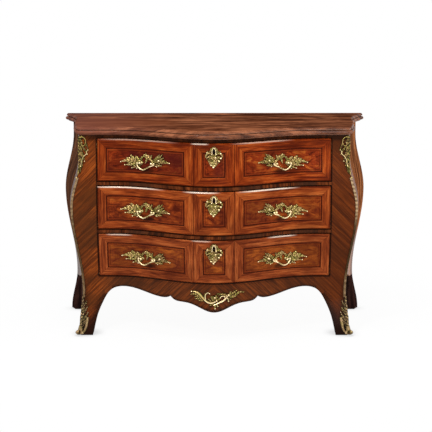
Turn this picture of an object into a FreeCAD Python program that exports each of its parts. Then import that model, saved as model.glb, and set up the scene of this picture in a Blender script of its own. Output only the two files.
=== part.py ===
import FreeCAD, Part
import math
import os
from FreeCAD import Vector

# A serpentine, bombe chest of three long drawers, in millimetres.
# +Z is up, the front faces -Y, and the origin is under the middle of the chest.

# Overall sizes
HEIGHT = 850.0
CORNER_HALF_WIDTH = 535.0
CORNER_DEPTH = 446.0
REAR_FLARE = 65.0
BOW = 140.0
BOW_END = 62.0
SIDE_SWELL = 0.14

# Bombe profile: how far the front, the front corners and the rear corners stand out at each height
BULGE_SHARE = 0.62
CORNER_NECK_SHARE = 0.85
REAR_NECK_SHARE = 0.906
FRONT_BULGE = 20.0
CORNER_BULGE = 38.0
REAR_BULGE = 39.0
ANKLE_HEIGHT = 172.0
FRONT_ANKLE = -28.0
CORNER_ANKLE = -8.0
REAR_ANKLE = -5.0
FRONT_TOE = 10.0
CORNER_TOE = 6.0
REAR_TOE = 21.0

# Front frame; the lower two drawers are deeper than the top one by their steps
STILE_WIDTH = 68.0
STILE_DEPTH = 95.0
TOP_RAIL_HEIGHT = 13.0
RAIL_HEIGHT = 17.0
APRON_TOP = 239.0
MIDDLE_DRAWER_STEP = 5.0
BOTTOM_DRAWER_STEP = 11.0
APRON_SHOULDER = 37.0
APRON_DEPTH = 60.0
TENON_LENGTH = 18.0
TENON_DEPTH = 30.0
TENON_SHOULDER = 4.0

# Sides and back
SIDE_THICKNESS = 20.0
REAR_STILE_DEPTH = 36.0
REAR_STILE_WIDTH = 55.0
BACK_THICKNESS = 10.0
BACK_INSET = 12.0
BACK_BOTTOM = 170.0
BACK_BOARDS = 4
BOARD_GAP = 0.6

# Top board and its edge moulding, from below: neck, bead, groove and rounded upper member
TOP_THICKNESS = 32.0
TOP_OVERHANG = 16.0
TOP_REAR_OVERHANG = 33.0
TOP_CORNER_RADIUS = 26.0
NECK_HEIGHT = 4.0
NECK_INSET = 12.0
BEAD_HEIGHT = 15.0
GROOVE_HEIGHT = 3.0
GROOVE_INSET = 9.0
UPPER_INSET = 4.0
UPPER_ROUND = 8.0

# Lower edge of the apron, as (share of its half width, drop below its top), out to the cusp and on over the arch
PENDANT_EDGE = ((0.0, 116.5), (0.056, 113.0), (0.13, 100.0), (0.237, 84.0), (0.326, 81.0), (0.407, 63.5))
CUSP_SLOPE = 1.2
ARCH_EDGE = ((0.451, 71.5), (0.507, 72.0), (0.672, 56.0), (0.835, 43.0), (0.96, 54.0))

# Inner edge of a front leg, as (distance outside the stile's inner edge, height)
LEG_EDGE = ((-17.0, 135.0), (4.0, 87.0))
FOOT_WIDTH = 42.0
FOOT_DEPTH = 62.0
SIDE_ARCH_HEIGHT = 190.0
SIDE_ARCH_RISE = 42.0

# Inside the carcase
RUNNER_WIDTH = 30.0
GUIDE_WIDTH = 28.0
GUIDE_HEIGHT = 30.0
DUST_BOARD_THICKNESS = 8.0
DUST_BOARD_DROP = 7.0
STOP_WIDTH = 24.0
STOP_LENGTH = 12.0
STOP_HEIGHT = 6.0

# Drawers
DRAWER_NAMES = ("top", "middle", "bottom")
DRAWER_PROUD = 7.0
DRAWER_GAP = 2.0
DRAWER_ARRIS = 3.5
DRAWER_FRONT_THICKNESS = 24.0
DRAWER_SIDE_THICKNESS = 12.0
DRAWER_SIDE_CLEARANCE = 1.0
DRAWER_RUN_GAP = 0.3
DRAWER_HEAD_ROOM = 10.0
DRAWER_BACK_SPACE = 8.0
DRAWER_BOTTOM_THICKNESS = 8.0
DRAWER_BOTTOM_RAISE = 12.0
GROOVE_DEPTH = 4.0
DOVETAIL_COUNT = 4
DOVETAIL_LENGTH = 16.0
DOVETAIL_FLARE = 4.0
FIT = 0.1

# Locks
LOCK_WIDTH = 70.0
LOCK_HEIGHT = 60.0
LOCK_DEPTH = 14.0
BOLT_WIDTH = 26.0
BOLT_THICKNESS = 6.0
BOLT_HEIGHT = 18.0
BOLT_CLEARANCE = 0.3
BOLT_THROW = 9.0
KEYHOLE_RADIUS = 4.0
KEYHOLE_SLOT = 3.4
KEYHOLE_LENGTH = 13.0
KEYHOLE_DROP = 26.0

# Gilt mounts
MOUNT_GAP = 0.25
PLATE_RELIEF = 4.5
ESCUTCHEON_RELIEF = 5.0
ESCUTCHEON_DROP = 8.0
ESCUTCHEON_HALF_WIDTH = 34.0
ESCUTCHEON_HALF_HEIGHT = 45.0
APRON_MOUNT_RELIEF = 5.0
APRON_MOUNT_HEIGHT = 178.0
APRON_MOUNT_REACH = 150.0
HANDLE_SHARE = 0.567
HANDLE_DROP = 7.0
HANDLE_REACH = 120.0
PIVOT_HALF_SPAN = 26.0
PIVOT_REACH = 12.0
POST_RADIUS = 5.0
PIN_RADIUS = 2.2
PIN_CLEARANCE = 0.08
BAIL_DROP = 27.0
BAIL_RADIUS = 3.2
BAIL_KNUCKLE = 4.4
KNUCKLE_GAP = 1.6
HANDLE_BOLT_RADIUS = 2.5
HANDLE_BOLT_HOLE = 2.9
NUT_WIDTH = 11.0
NUT_HEIGHT = 5.0
FILLET_WIDTH = 6.0
FILLET_RELIEF = 2.5
CHUTE_LENGTH = 168.0
CHUTE_WIDTH = 36.0
CHUTE_RELIEF = 6.0
CHUTE_SKEW = 1.4
CHUTE_SCALLOPS = 5
SABOT_BOTTOM = 4.0
SABOT_TOP = 150.0
SABOT_WIDTH = 34.0
SABOT_RELIEF = 5.0
SABOT_SCALLOPS = 4
TOE_SCROLL_RADIUS = 11.0
TOE_SCROLL_LENGTH = 36.0
LEAF_SCALLOP = 0.2

# Places worked out from the sizes
CARCASE_TOP = HEIGHT - TOP_THICKNESS
TOTAL_DEPTH = CORNER_DEPTH + BOW + FRONT_BULGE + DRAWER_PROUD + ESCUTCHEON_RELIEF
REAR_Y = TOTAL_DEPTH / 2
FRONT_Y = REAR_Y - CORNER_DEPTH
REAR_HALF_WIDTH = CORNER_HALF_WIDTH + REAR_FLARE
TOP_CORNER_HALF_WIDTH = CORNER_HALF_WIDTH + TOP_OVERHANG
TOP_REAR_HALF_WIDTH = REAR_HALF_WIDTH + TOP_REAR_OVERHANG
STILE_INNER = CORNER_HALF_WIDTH - STILE_WIDTH
STILE_BACK_Y = FRONT_Y + STILE_DEPTH
APRON_HALF_WIDTH = STILE_INNER - APRON_SHOULDER
BOW_HALF_WIDTH = STILE_INNER - BOW_END
REAR_STILE_Y = REAR_Y - REAR_STILE_DEPTH
REAR_STILE_INNER = REAR_HALF_WIDTH - REAR_STILE_WIDTH
BACK_Y = REAR_Y - BACK_INSET - BACK_THICKNESS
DRAWER_BACK_Y = BACK_Y - DRAWER_BACK_SPACE
DRAWER_STACK = CARCASE_TOP - TOP_RAIL_HEIGHT - 2 * RAIL_HEIGHT - APRON_TOP
TOP_OPENING_HEIGHT = (DRAWER_STACK - MIDDLE_DRAWER_STEP - BOTTOM_DRAWER_STEP) / len(DRAWER_NAMES)
MIDDLE_OPENING_TOP = CARCASE_TOP - TOP_RAIL_HEIGHT - TOP_OPENING_HEIGHT - RAIL_HEIGHT
BOTTOM_OPENING_TOP = APRON_TOP + TOP_OPENING_HEIGHT + BOTTOM_DRAWER_STEP
OPENING_TOPS = [CARCASE_TOP - TOP_RAIL_HEIGHT, MIDDLE_OPENING_TOP, BOTTOM_OPENING_TOP]
OPENING_BOTTOMS = [MIDDLE_OPENING_TOP + RAIL_HEIGHT, BOTTOM_OPENING_TOP + RAIL_HEIGHT, APRON_TOP]
GUIDE_OUTER = STILE_INNER + GUIDE_WIDTH
RUNNER_INNER = STILE_INNER - RUNNER_WIDTH
STOP_X = RUNNER_INNER - STOP_WIDTH
HANDLE_X = STILE_INNER * HANDLE_SHARE
BAIL_HALF_SPAN = PIVOT_HALF_SPAN + POST_RADIUS + KNUCKLE_GAP + BAIL_KNUCKLE
CHUTE_TOP = CARCASE_TOP - DRAWER_GAP
CHUTE_BOTTOM = CHUTE_TOP - CHUTE_LENGTH

BULGE_HEIGHT = HEIGHT * BULGE_SHARE
CORNER_NECK = (HEIGHT * CORNER_NECK_SHARE, 0.0)
REAR_NECK = (HEIGHT * REAR_NECK_SHARE, 0.0)
RIM = (CARCASE_TOP, 0.0)
FRONT_PROFILE = ((0.0, FRONT_TOE), (ANKLE_HEIGHT, FRONT_ANKLE), (BULGE_HEIGHT, FRONT_BULGE), RIM)
CORNER_PROFILE = ((0.0, CORNER_TOE), (ANKLE_HEIGHT, CORNER_ANKLE), (BULGE_HEIGHT, CORNER_BULGE), CORNER_NECK, RIM)
REAR_PROFILE = ((0.0, REAR_TOE), (ANKLE_HEIGHT, REAR_ANKLE), (BULGE_HEIGHT, REAR_BULGE), REAR_NECK, RIM)

# Tools that are longer than the chest, and how closely the curved surfaces are sampled
FAR = HEIGHT + TOTAL_DEPTH + 2 * TOP_REAR_HALF_WIDTH
SPARE = 30.0
CORNER_SPARE = 90.0
UNDERCUT = 1.0
WIDE_STEP = 60.0
PLAN_STEP = 20.0
TALL_STEP = 30.0
GRID_MARGIN = 2
MOUNT_STEP = 12.0
MOULDING_STEPS = 6
NORMAL_STEP = 0.5


def spread(start, end, pitch):
    """Evenly spaced values from start to end, no further apart than pitch."""
    count = max(4, math.ceil((end - start) / pitch))
    return [start + (end - start) * index / count for index in range(count + 1)]


def grid(start, end, pitch):
    """Multiples of pitch that reach past start and end, so that all pieces are sampled at the same places."""
    first = math.floor(start / pitch) - GRID_MARGIN
    last = math.ceil(end / pitch) + GRID_MARGIN
    return [index * pitch for index in range(first, last + 1)]


def profile(knots, height):
    """Offset at a height, as half cosine waves between the (height, offset) knots."""
    for (low, low_offset), (high, high_offset) in zip(knots, knots[1:]):
        if height <= high:
            share = (1 - math.cos(math.pi * (height - low) / (high - low))) / 2
            return low_offset + (high_offset - low_offset) * share
    return knots[-1][1]


def bow(x):
    """Share of the serpentine bow at x: 1 in the middle, 0 at the flat ends."""
    if abs(x) >= BOW_HALF_WIDTH:
        return 0.0
    return (1 + math.cos(math.pi * x / BOW_HALF_WIDTH)) / 2


def bow_slope(x):
    """Slope dy/dx of the serpentine front in plan."""
    if abs(x) >= BOW_HALF_WIDTH:
        return 0.0
    return BOW * math.pi / (2 * BOW_HALF_WIDTH) * math.sin(math.pi * x / BOW_HALF_WIDTH)


def front_y(x, z):
    """The bombe front surface."""
    return FRONT_Y - profile(FRONT_PROFILE, z) - BOW * bow(x)


def side_share(y):
    """Serpentine plan of a side: 0 at the front corner, 1 at the rear corner."""
    along = (y - FRONT_Y) / CORNER_DEPTH
    return along * abs(along) + SIDE_SWELL * math.sin(2 * math.pi * along)


def side_x(y, z):
    """The bombe surface of the right-hand side."""
    corner = CORNER_HALF_WIDTH + profile(CORNER_PROFILE, z)
    rear = REAR_HALF_WIDTH + profile(REAR_PROFILE, z)
    return corner + (rear - corner) * side_share(y)


def box(x0, x1, y0, y1, z0, z1):
    return Part.makeBox(x1 - x0, y1 - y0, z1 - z0, Vector(x0, y0, z0))


def mirrored(shape):
    return shape.mirror(Vector(0, 0, 0), Vector(1, 0, 0))


def curve(points):
    """One smooth edge through the points."""
    spline = Part.BSplineCurve()
    spline.interpolate(points)
    return spline.toShape()


def line(start, end):
    return Part.LineSegment(start, end).toShape()


def patch(rows):
    surface = Part.BSplineSurface()
    surface.interpolate(rows)
    return surface.toShape()


def front_surface(x0, x1, z0, z1, out):
    """Stretch of the front surface moved forward by out, a function of x and z."""
    heights = grid(z0, z1, TALL_STEP)
    return patch([[Vector(x, front_y(x, z) - out(x, z), z) for z in heights] for x in grid(x0, x1, WIDE_STEP)])


def front_block(x0, x1, z0, z1, out, depth):
    """Solid behind the front surface moved forward by out, over a stretch of the front."""
    return front_surface(x0, x1, z0, z1, lambda x, z: out).extrude(Vector(0, depth, 0))


def side_block(y0, y1, z0, z1, out, depth):
    """Solid inside the right-hand side surface moved outward by out."""
    heights = grid(z0, z1, TALL_STEP)
    rows = [[Vector(side_x(y, z) + out, y, z) for z in heights] for y in grid(y0, y1, WIDE_STEP)]
    return patch(rows).extrude(Vector(-depth, 0, 0))


def behind(depth, z0, z1):
    """Everything behind the serpentine plan curve that lies depth behind the frame's front plane."""
    xs = spread(-REAR_HALF_WIDTH, REAR_HALF_WIDTH, PLAN_STEP)
    points = [Vector(x, FRONT_Y + depth - BOW * bow(x), z0) for x in xs]
    right_rear = Vector(points[-1].x, FAR, z0)
    left_rear = Vector(points[0].x, FAR, z0)
    edges = [curve(points), line(points[-1], right_rear), line(right_rear, left_rear), line(left_rear, points[0])]
    return Part.Face(Part.Wire(edges)).extrude(Vector(0, 0, z1 - z0))


def corner_post(z0, z1, out):
    """The front right corner between the front and side surfaces, grown outward by out."""
    front = front_block(APRON_HALF_WIDTH - SPARE, CORNER_HALF_WIDTH + CORNER_SPARE, z0, z1, out, FAR)
    side = side_block(FRONT_Y - CORNER_SPARE, STILE_BACK_Y + SPARE, z0, z1, out, CORNER_HALF_WIDTH)
    return front.common(side)


def front_opening():
    """Tool that cuts the shaped lower edge of the apron and the inner edges of the front legs."""
    pendant = [Vector(share * APRON_HALF_WIDTH, 0, APRON_TOP - drop) for share, drop in PENDANT_EDGE]
    arch = pendant[-1:] + [Vector(share * APRON_HALF_WIDTH, 0, APRON_TOP - drop) for share, drop in ARCH_EDGE]
    arch += [Vector(STILE_INNER + out, 0, height) for out, height in LEG_EDGE]
    arch.append(Vector(CORNER_HALF_WIDTH - FOOT_WIDTH, 0, -UNDERCUT))
    pendant_edge = Part.BSplineCurve()
    pendant_edge.interpolate(pendant, InitialTangent=Vector(1, 0, 0), FinalTangent=Vector(1, 0, CUSP_SLOPE))
    floor = Vector(0, 0, -UNDERCUT)
    edges = [pendant_edge.toShape(), curve(arch), line(arch[-1], floor), line(floor, pendant[0])]
    half = Part.Face(Part.Wire(edges))
    half.translate(Vector(0, -FAR, 0))
    right = half.extrude(Vector(0, 2 * FAR, 0))
    return right.fuse(mirrored(right)).removeSplitter()


def side_opening():
    """Tool that cuts the arched lower edge of the right side and the facing edges of its legs."""
    foot = FRONT_Y - FRONT_TOE + FOOT_DEPTH
    spring = SIDE_ARCH_HEIGHT - SIDE_ARCH_RISE
    leg = [Vector(0, foot, -UNDERCUT),
           Vector(0, (foot + 2 * STILE_BACK_Y) / 3, spring / 2),
           Vector(0, STILE_BACK_Y, spring)]
    crown = Vector(0, (STILE_BACK_Y + REAR_STILE_Y) / 2, SIDE_ARCH_HEIGHT)
    rear_spring = Vector(0, REAR_STILE_Y, spring)
    rear_foot = Vector(0, REAR_STILE_Y, -UNDERCUT)
    edges = [curve(leg), Part.Arc(leg[-1], crown, rear_spring).toShape(), line(rear_spring, rear_foot),
             line(rear_foot, leg[0])]
    return Part.Face(Part.Wire(edges)).extrude(Vector(FAR, 0, 0))


def top_outline(inset, z):
    """Closed plan outline of the top, drawn in by inset from its widest line, at height z."""
    front_line = FRONT_Y - TOP_OVERHANG
    radius = TOP_CORNER_RADIUS - inset
    flare = TOP_REAR_HALF_WIDTH - TOP_CORNER_HALF_WIDTH

    def edge_x(y):
        return TOP_CORNER_HALF_WIDTH + flare * side_share(y)

    def edge_normal(y):
        slope = (edge_x(y + NORMAL_STEP) - edge_x(y - NORMAL_STEP)) / (2 * NORMAL_STEP)
        return Vector(1, -slope, 0).normalize()

    touch = front_line + TOP_CORNER_RADIUS
    for _ in range(6):
        touch = front_line + TOP_CORNER_RADIUS * (1 + edge_normal(touch).y)
    centre = Vector(edge_x(touch), touch, z) - edge_normal(touch) * TOP_CORNER_RADIUS
    side = []
    for y in spread(touch, REAR_Y + SPARE, WIDE_STEP):
        side.append(Vector(edge_x(y), y, z) - edge_normal(y) * inset)
    front = []
    for x in spread(-centre.x, centre.x, WIDE_STEP):
        normal = Vector(bow_slope(x), -1, 0).normalize()
        front.append(Vector(x, front_line - BOW * bow(x), z) - normal * inset)
    half_way = (edge_normal(touch) + Vector(0, -1, 0)).normalize()
    corner = Part.Arc(front[-1], centre + half_way * radius, side[0]).toShape()

    def flip(point):
        return Vector(-point.x, point.y, point.z)

    left_side = [flip(point) for point in reversed(side)]
    left_centre = flip(centre)
    left_corner = Part.Arc(left_side[-1], left_centre + flip(half_way) * radius, front[0]).toShape()
    return Part.Wire([curve(front), corner, curve(side), line(side[-1], left_side[0]), curve(left_side), left_corner])


def moulding_band(levels):
    """One member of the edge moulding, lofted through (inset, height) levels."""
    return Part.makeLoft([top_outline(inset, z) for inset, z in levels], True, True)


def top():
    """The top board with a neck, a bead, a groove and a rounded upper member along the front and sides."""
    bead_base = CARCASE_TOP + NECK_HEIGHT
    groove_base = bead_base + BEAD_HEIGHT
    upper_base = groove_base + GROOVE_HEIGHT
    bead_levels = []
    upper_levels = []
    for step in range(MOULDING_STEPS + 1):
        turn = math.pi * step / MOULDING_STEPS
        drawn_in = (1 - math.sin(turn)) * BEAD_HEIGHT / 2
        bead_levels.append((drawn_in, bead_base + (1 - math.cos(turn)) * BEAD_HEIGHT / 2))
        drawn_in = UPPER_INSET + UPPER_ROUND * (1 - math.cos(turn / 2))
        upper_levels.append((drawn_in, upper_base + (HEIGHT - upper_base) * math.sin(turn / 2)))
    bands = [moulding_band(bead_levels), moulding_band(upper_levels),
             moulding_band([(NECK_INSET, CARCASE_TOP), (NECK_INSET, bead_base)]),
             moulding_band([(GROOVE_INSET, groove_base), (GROOVE_INSET, upper_base)])]
    board = bands[0].fuse(bands[1:])
    return board.common(box(-FAR, FAR, -FAR, REAR_Y, 0, HEIGHT))


def rail_tenon(low, high, clearance):
    """Tenon on the right-hand end of a rail, or with a clearance its mortise."""
    y0 = FRONT_Y + TENON_SHOULDER + TENON_DEPTH
    return box(STILE_INNER, STILE_INNER + TENON_LENGTH + clearance, y0 - clearance, y0 + TENON_DEPTH + clearance,
               low + TENON_SHOULDER - clearance, high - TENON_SHOULDER + clearance)


def rail_levels():
    """Bottom and top of the three rails, from the top one down."""
    return list(zip(OPENING_TOPS, [CARCASE_TOP] + OPENING_BOTTOMS))


def bolt_place(row):
    """Depth at which a drawer's lock bolt stands."""
    return drawer_inner_y(row, 0) - LOCK_DEPTH / 2


def rail(row):
    """A rail under the top or between two drawers, with a tenon at each end and a mortise for the bolt below."""
    low, high = rail_levels()[row]
    block = front_block(-STILE_INNER - SPARE, STILE_INNER + SPARE, low - SPARE, high + SPARE, 0, FAR)
    block = block.common(box(-STILE_INNER, STILE_INNER, -FAR, FAR, low, high))
    block = block.cut(behind(STILE_DEPTH, low - SPARE, high + SPARE))
    tenon = rail_tenon(low, high, 0)
    block = block.fuse([tenon, mirrored(tenon)])
    half = BOLT_WIDTH / 2 + 2 * BOLT_CLEARANCE
    middle = bolt_place(row)
    reach = BOLT_THICKNESS / 2 + 2 * BOLT_CLEARANCE
    return block.cut(box(-half, half, middle - reach, middle + reach, low, low + BOLT_THROW + BOLT_CLEARANCE))


def apron(opening):
    """The shaped apron under the bottom drawer."""
    block = front_block(-APRON_HALF_WIDTH - SPARE, APRON_HALF_WIDTH + SPARE, 0, APRON_TOP + SPARE, 0, FAR)
    block = block.common(box(-APRON_HALF_WIDTH, APRON_HALF_WIDTH, -FAR, FAR, 0, APRON_TOP))
    block = block.cut(behind(APRON_DEPTH, 0, APRON_TOP + SPARE))
    return block.cut(opening)


def front_leg(opening, side_cut):
    """Right front stile and cabriole leg in one length, with a shoulder beside the apron."""
    post = corner_post(0, CARCASE_TOP, 0)
    post = post.common(box(APRON_HALF_WIDTH, FAR, -FAR, STILE_BACK_Y, 0, CARCASE_TOP))
    post = post.cut(box(0, STILE_INNER, -FAR, FAR, APRON_TOP, CARCASE_TOP))
    post = post.cut(opening).cut(side_cut)
    mortises = [rail_tenon(low, high, FIT) for low, high in rail_levels()]
    return post.cut(mortises)


def rear_leg(side_cut):
    """Right rear stile and leg in one length."""
    block = side_block(REAR_STILE_Y - SPARE, REAR_Y + SPARE, 0, CARCASE_TOP, 0, REAR_HALF_WIDTH)
    block = block.common(box(REAR_STILE_INNER, FAR, REAR_STILE_Y, REAR_Y, 0, CARCASE_TOP))
    return block.cut(side_cut)


def side_panel(side_cut):
    """Right bombe side between the stiles, with an arched lower edge."""
    block = side_block(STILE_BACK_Y - SPARE, REAR_STILE_Y + SPARE, 0, CARCASE_TOP, 0, SIDE_THICKNESS)
    block = block.common(box(0, FAR, STILE_BACK_Y, REAR_STILE_Y, 0, CARCASE_TOP))
    return block.cut(side_cut)


def back_boards():
    """Horizontal boards between the rear stiles."""
    pitch = (CARCASE_TOP - BACK_BOTTOM) / BACK_BOARDS
    boards = []
    for index in range(BACK_BOARDS):
        low = BACK_BOTTOM + index * pitch
        boards.append(box(-REAR_STILE_INNER, REAR_STILE_INNER, BACK_Y, BACK_Y + BACK_THICKNESS,
                          low, low + pitch - BOARD_GAP))
    return Part.makeCompound(boards)


def runners():
    """L-shaped runners with guides, one each side under each drawer."""
    solids = []
    for floor in OPENING_BOTTOMS:
        runner = box(RUNNER_INNER, GUIDE_OUTER, STILE_BACK_Y + FIT, BACK_Y, floor - RAIL_HEIGHT, floor)
        guide = box(STILE_INNER, GUIDE_OUTER, STILE_BACK_Y + FIT, BACK_Y, floor, floor + GUIDE_HEIGHT)
        right = runner.fuse(guide).removeSplitter()
        solids += [right, mirrored(right)]
    return Part.makeCompound(solids)


def stops():
    """Blocks on the rails and the apron that the closed drawer fronts meet."""
    solids = []
    for row, floor in enumerate(OPENING_BOTTOMS):
        face = drawer_inner_y(row, STOP_X) + DRAWER_RUN_GAP
        right = box(STOP_X - STOP_WIDTH / 2, STOP_X + STOP_WIDTH / 2, face, face + STOP_LENGTH,
                    floor, floor + STOP_HEIGHT)
        solids += [right, mirrored(right)]
    return Part.makeCompound(solids)


def dust_board(row):
    """Board behind a rail or the apron, between the runners."""
    high = OPENING_BOTTOMS[row] - DUST_BOARD_DROP
    low = high - DUST_BOARD_THICKNESS
    depth = APRON_DEPTH if OPENING_BOTTOMS[row] == APRON_TOP else STILE_DEPTH
    board = behind(depth, low, high).common(box(-RUNNER_INNER, RUNNER_INNER, -FAR, BACK_Y, low, high))
    notch = box(APRON_HALF_WIDTH, FAR, -FAR, STILE_BACK_Y, low, high)
    return board.cut([notch, mirrored(notch)])


def drawer_levels(row):
    """Bottom and top of a drawer front."""
    return OPENING_BOTTOMS[row] + DRAWER_GAP, OPENING_TOPS[row] - DRAWER_GAP


def drawer_inner_depth(row):
    """How far the upright inner face of a drawer front lies behind the frame's front plane."""
    low, high = drawer_levels(row)
    thinnest = min(profile(FRONT_PROFILE, z) for z in spread(low, high, DRAWER_FRONT_THICKNESS))
    return DRAWER_FRONT_THICKNESS - DRAWER_PROUD - thinnest


def drawer_inner_y(row, x):
    return FRONT_Y + drawer_inner_depth(row) - BOW * bow(x)


def dovetails(row, clearance):
    """Tails on the front end of the right drawer side, or with a clearance their sockets."""
    low, high = drawer_side_levels(row)
    pitch = (high - low) / DOVETAIL_COUNT
    outer = STILE_INNER - DRAWER_SIDE_CLEARANCE
    root = drawer_inner_y(row, outer) + FIT
    tip = root - DOVETAIL_LENGTH
    tails = []
    for index in range(DOVETAIL_COUNT):
        middle = low + (index + 0.5) * pitch
        narrow = pitch / 4 + clearance
        wide = narrow + DOVETAIL_FLARE
        corners = [Vector(outer, root, middle - narrow), Vector(outer, tip - clearance, middle - wide),
                   Vector(outer, tip - clearance, middle + wide), Vector(outer, root, middle + narrow)]
        face = Part.Face(Part.makePolygon(corners + corners[:1]))
        tails.append(face.extrude(Vector(-DRAWER_SIDE_THICKNESS - clearance, 0, 0)))
    return tails


def drawer_side_levels(row):
    return OPENING_BOTTOMS[row] + DRAWER_RUN_GAP, OPENING_TOPS[row] - DRAWER_HEAD_ROOM


def drawer_floor_levels(row):
    low = OPENING_BOTTOMS[row] + DRAWER_BOTTOM_RAISE
    return low, low + DRAWER_BOTTOM_THICKNESS


def keyhole(row, growth):
    """Tool for a keyhole, a round eye over a slot, through a drawer front and its escutcheon."""
    eye = drawer_levels(row)[1] - KEYHOLE_DROP
    rear = bolt_place(row)
    round_eye = Part.makeCylinder(KEYHOLE_RADIUS + growth, FAR, Vector(0, rear - FAR, eye), Vector(0, 1, 0))
    half = KEYHOLE_SLOT / 2 + growth
    return round_eye.fuse(box(-half, half, rear - FAR, rear, eye - KEYHOLE_LENGTH - growth, eye))


def lock_box(row, clearance, beyond):
    """Block of a lock, let into the back and the top edge of the drawer front, or the tool for its mortise."""
    rear = drawer_inner_y(row, 0)
    high = drawer_levels(row)[1]
    half = LOCK_WIDTH / 2 + clearance
    return box(-half, half, rear - LOCK_DEPTH - clearance, rear + beyond, high - LOCK_HEIGHT - clearance, high + beyond)


def lock_case(row):
    """Lock case with a slot for the bolt and a hole for the key."""
    case = lock_box(row, 0, 0)
    half = BOLT_WIDTH / 2 + BOLT_CLEARANCE
    middle = bolt_place(row)
    reach = BOLT_THICKNESS / 2 + BOLT_CLEARANCE
    high = drawer_levels(row)[1]
    slot = box(-half, half, middle - reach, middle + reach, high - BOLT_HEIGHT - BOLT_CLEARANCE, high)
    return case.cut([slot, keyhole(row, FIT)])


def lock_bolt(row):
    """Bolt that slides up out of the lock case, with its top flush at rest."""
    middle = bolt_place(row)
    high = drawer_levels(row)[1]
    return box(-BOLT_WIDTH / 2, BOLT_WIDTH / 2, middle - BOLT_THICKNESS / 2, middle + BOLT_THICKNESS / 2,
               high - BOLT_HEIGHT, high)


def drawer_front(row):
    """Serpentine, bombe drawer front, proud of the frame with bevelled edges, and its sockets and mortises."""
    low, high = drawer_levels(row)
    half = STILE_INNER - DRAWER_GAP
    stretch = (-half - SPARE, half + SPARE, low - SPARE, high + SPARE)
    block = front_block(*stretch, DRAWER_PROUD, FAR).common(box(-half, half, -FAR, FAR, low, high))
    edge = DRAWER_PROUD - DRAWER_ARRIS
    bevels = [lambda x, z: edge + high - z, lambda x, z: edge + z - low,
              lambda x, z: edge + half - x, lambda x, z: edge + half + x]
    for bevel in bevels:
        block = block.common(front_surface(*stretch, bevel).extrude(Vector(0, FAR, 0)))
    block = block.cut(behind(drawer_inner_depth(row), low - SPARE, high + SPARE))
    tails = dovetails(row, FIT)
    tools = tails + [mirrored(tail) for tail in tails]
    tools += [lock_box(row, FIT, SPARE), keyhole(row, 0)]
    for side in (-1, 1):
        tools += [handle_bore(row, side, pivot, HANDLE_BOLT_HOLE) for pivot in (-1, 1)]
    return block.cut(tools)


def drawer_sides(row):
    """Both sides of a drawer, dovetailed into the front and grooved for the bottom."""
    low, high = drawer_side_levels(row)
    outer = STILE_INNER - DRAWER_SIDE_CLEARANCE
    inner = outer - DRAWER_SIDE_THICKNESS
    board = box(inner, outer, drawer_inner_y(row, outer) + FIT, DRAWER_BACK_Y, low, high)
    board = board.fuse(dovetails(row, 0)).removeSplitter()
    floor, floor_top = drawer_floor_levels(row)
    groove = box(inner, inner + GROOVE_DEPTH + FIT, drawer_inner_y(row, outer), DRAWER_BACK_Y,
                 floor - FIT, floor_top + FIT)
    right = board.cut(groove)
    return Part.makeCompound([right, mirrored(right)])


def drawer_back(row):
    """Back of a drawer, standing on its bottom between the sides."""
    inner = STILE_INNER - DRAWER_SIDE_CLEARANCE - DRAWER_SIDE_THICKNESS
    high = drawer_side_levels(row)[1] - DRAWER_HEAD_ROOM
    return box(-inner, inner, DRAWER_BACK_Y - DRAWER_SIDE_THICKNESS, DRAWER_BACK_Y,
               drawer_floor_levels(row)[1] + FIT, high)


def drawer_bottom(row):
    """Bottom of a drawer, in the grooves of the sides and up against the serpentine front."""
    low, high = drawer_floor_levels(row)
    reach = STILE_INNER - DRAWER_SIDE_CLEARANCE - DRAWER_SIDE_THICKNESS + GROOVE_DEPTH
    return behind(drawer_inner_depth(row) + FIT, low, high).common(box(-reach, reach, -FAR, DRAWER_BACK_Y, low, high))


def petal(start, end, left_rise, right_rise):
    """Leaf-shaped face in the front view between two arcs, each rising from the chord by its own amount."""
    base = Vector(start[0], 0, start[1])
    tip = Vector(end[0], 0, end[1])
    across = Vector(base.z - tip.z, 0, tip.x - base.x).normalize()
    middle = (base + tip) / 2
    left = Part.Arc(base, middle + across * left_rise, tip).toShape()
    right = Part.Arc(tip, middle + across * right_rise, base).toShape()
    return Part.Face(Part.Wire([left, right]))


def foliage(petals, x, z, flip):
    """Prism through the front with the joined outline of several petals, at x and z and flipped left to right."""
    swell = BOW + FRONT_BULGE
    prisms = [petal(*leaf).extrude(Vector(0, swell + 4 * SPARE, 0)) for leaf in petals]
    spray = prisms[0].fuse(prisms[1:]).removeSplitter()
    if flip:
        spray = mirrored(spray)
    spray.translate(Vector(x, FRONT_Y - swell - 2 * SPARE, z))
    return spray


# Leaves as (base, tip, rise of one edge, rise of the other), in the front view about the bail's middle
HANDLE_LEAVES = (
    ((-20, 0), (-109, 5), 13, -9),
    ((-40, 2), (-66, 31), 5, -7),
    ((-26, 4), (-34, 31), 6, -6),
    ((-30, 2), (30, 2), 19, 8),
    ((-14, 8), (-2, 36), 7, -6),
    ((8, 8), (22, 31), 6, -6),
    ((22, 4), (52, 28), 7, -6),
    ((18, 0), (91, -10), 9, -12),
    ((-34, -2), (-84, -11), 2, -9),
    ((-30, -2), (-56, -22), 4, -7),
    ((30, -2), (62, -22), 7, -4),
    ((-42, -3), (-22, -3), 9, -9),
    ((22, -3), (42, -3), 9, -9),
)
ESCUTCHEON_LEAVES = (
    ((0, -45), (0, 34), 19, -19),
    ((0, 6), (0, 45), 11, -11),
    ((-6, -6), (-34, 8), 8, -8),
    ((6, -6), (34, 8), 8, -8),
    ((-8, 2), (-24, 22), 7, -5),
    ((8, 2), (24, 22), 5, -7),
    ((-4, -22), (-25, -14), 6, -6),
    ((4, -22), (25, -14), 6, -6),
)
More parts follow.
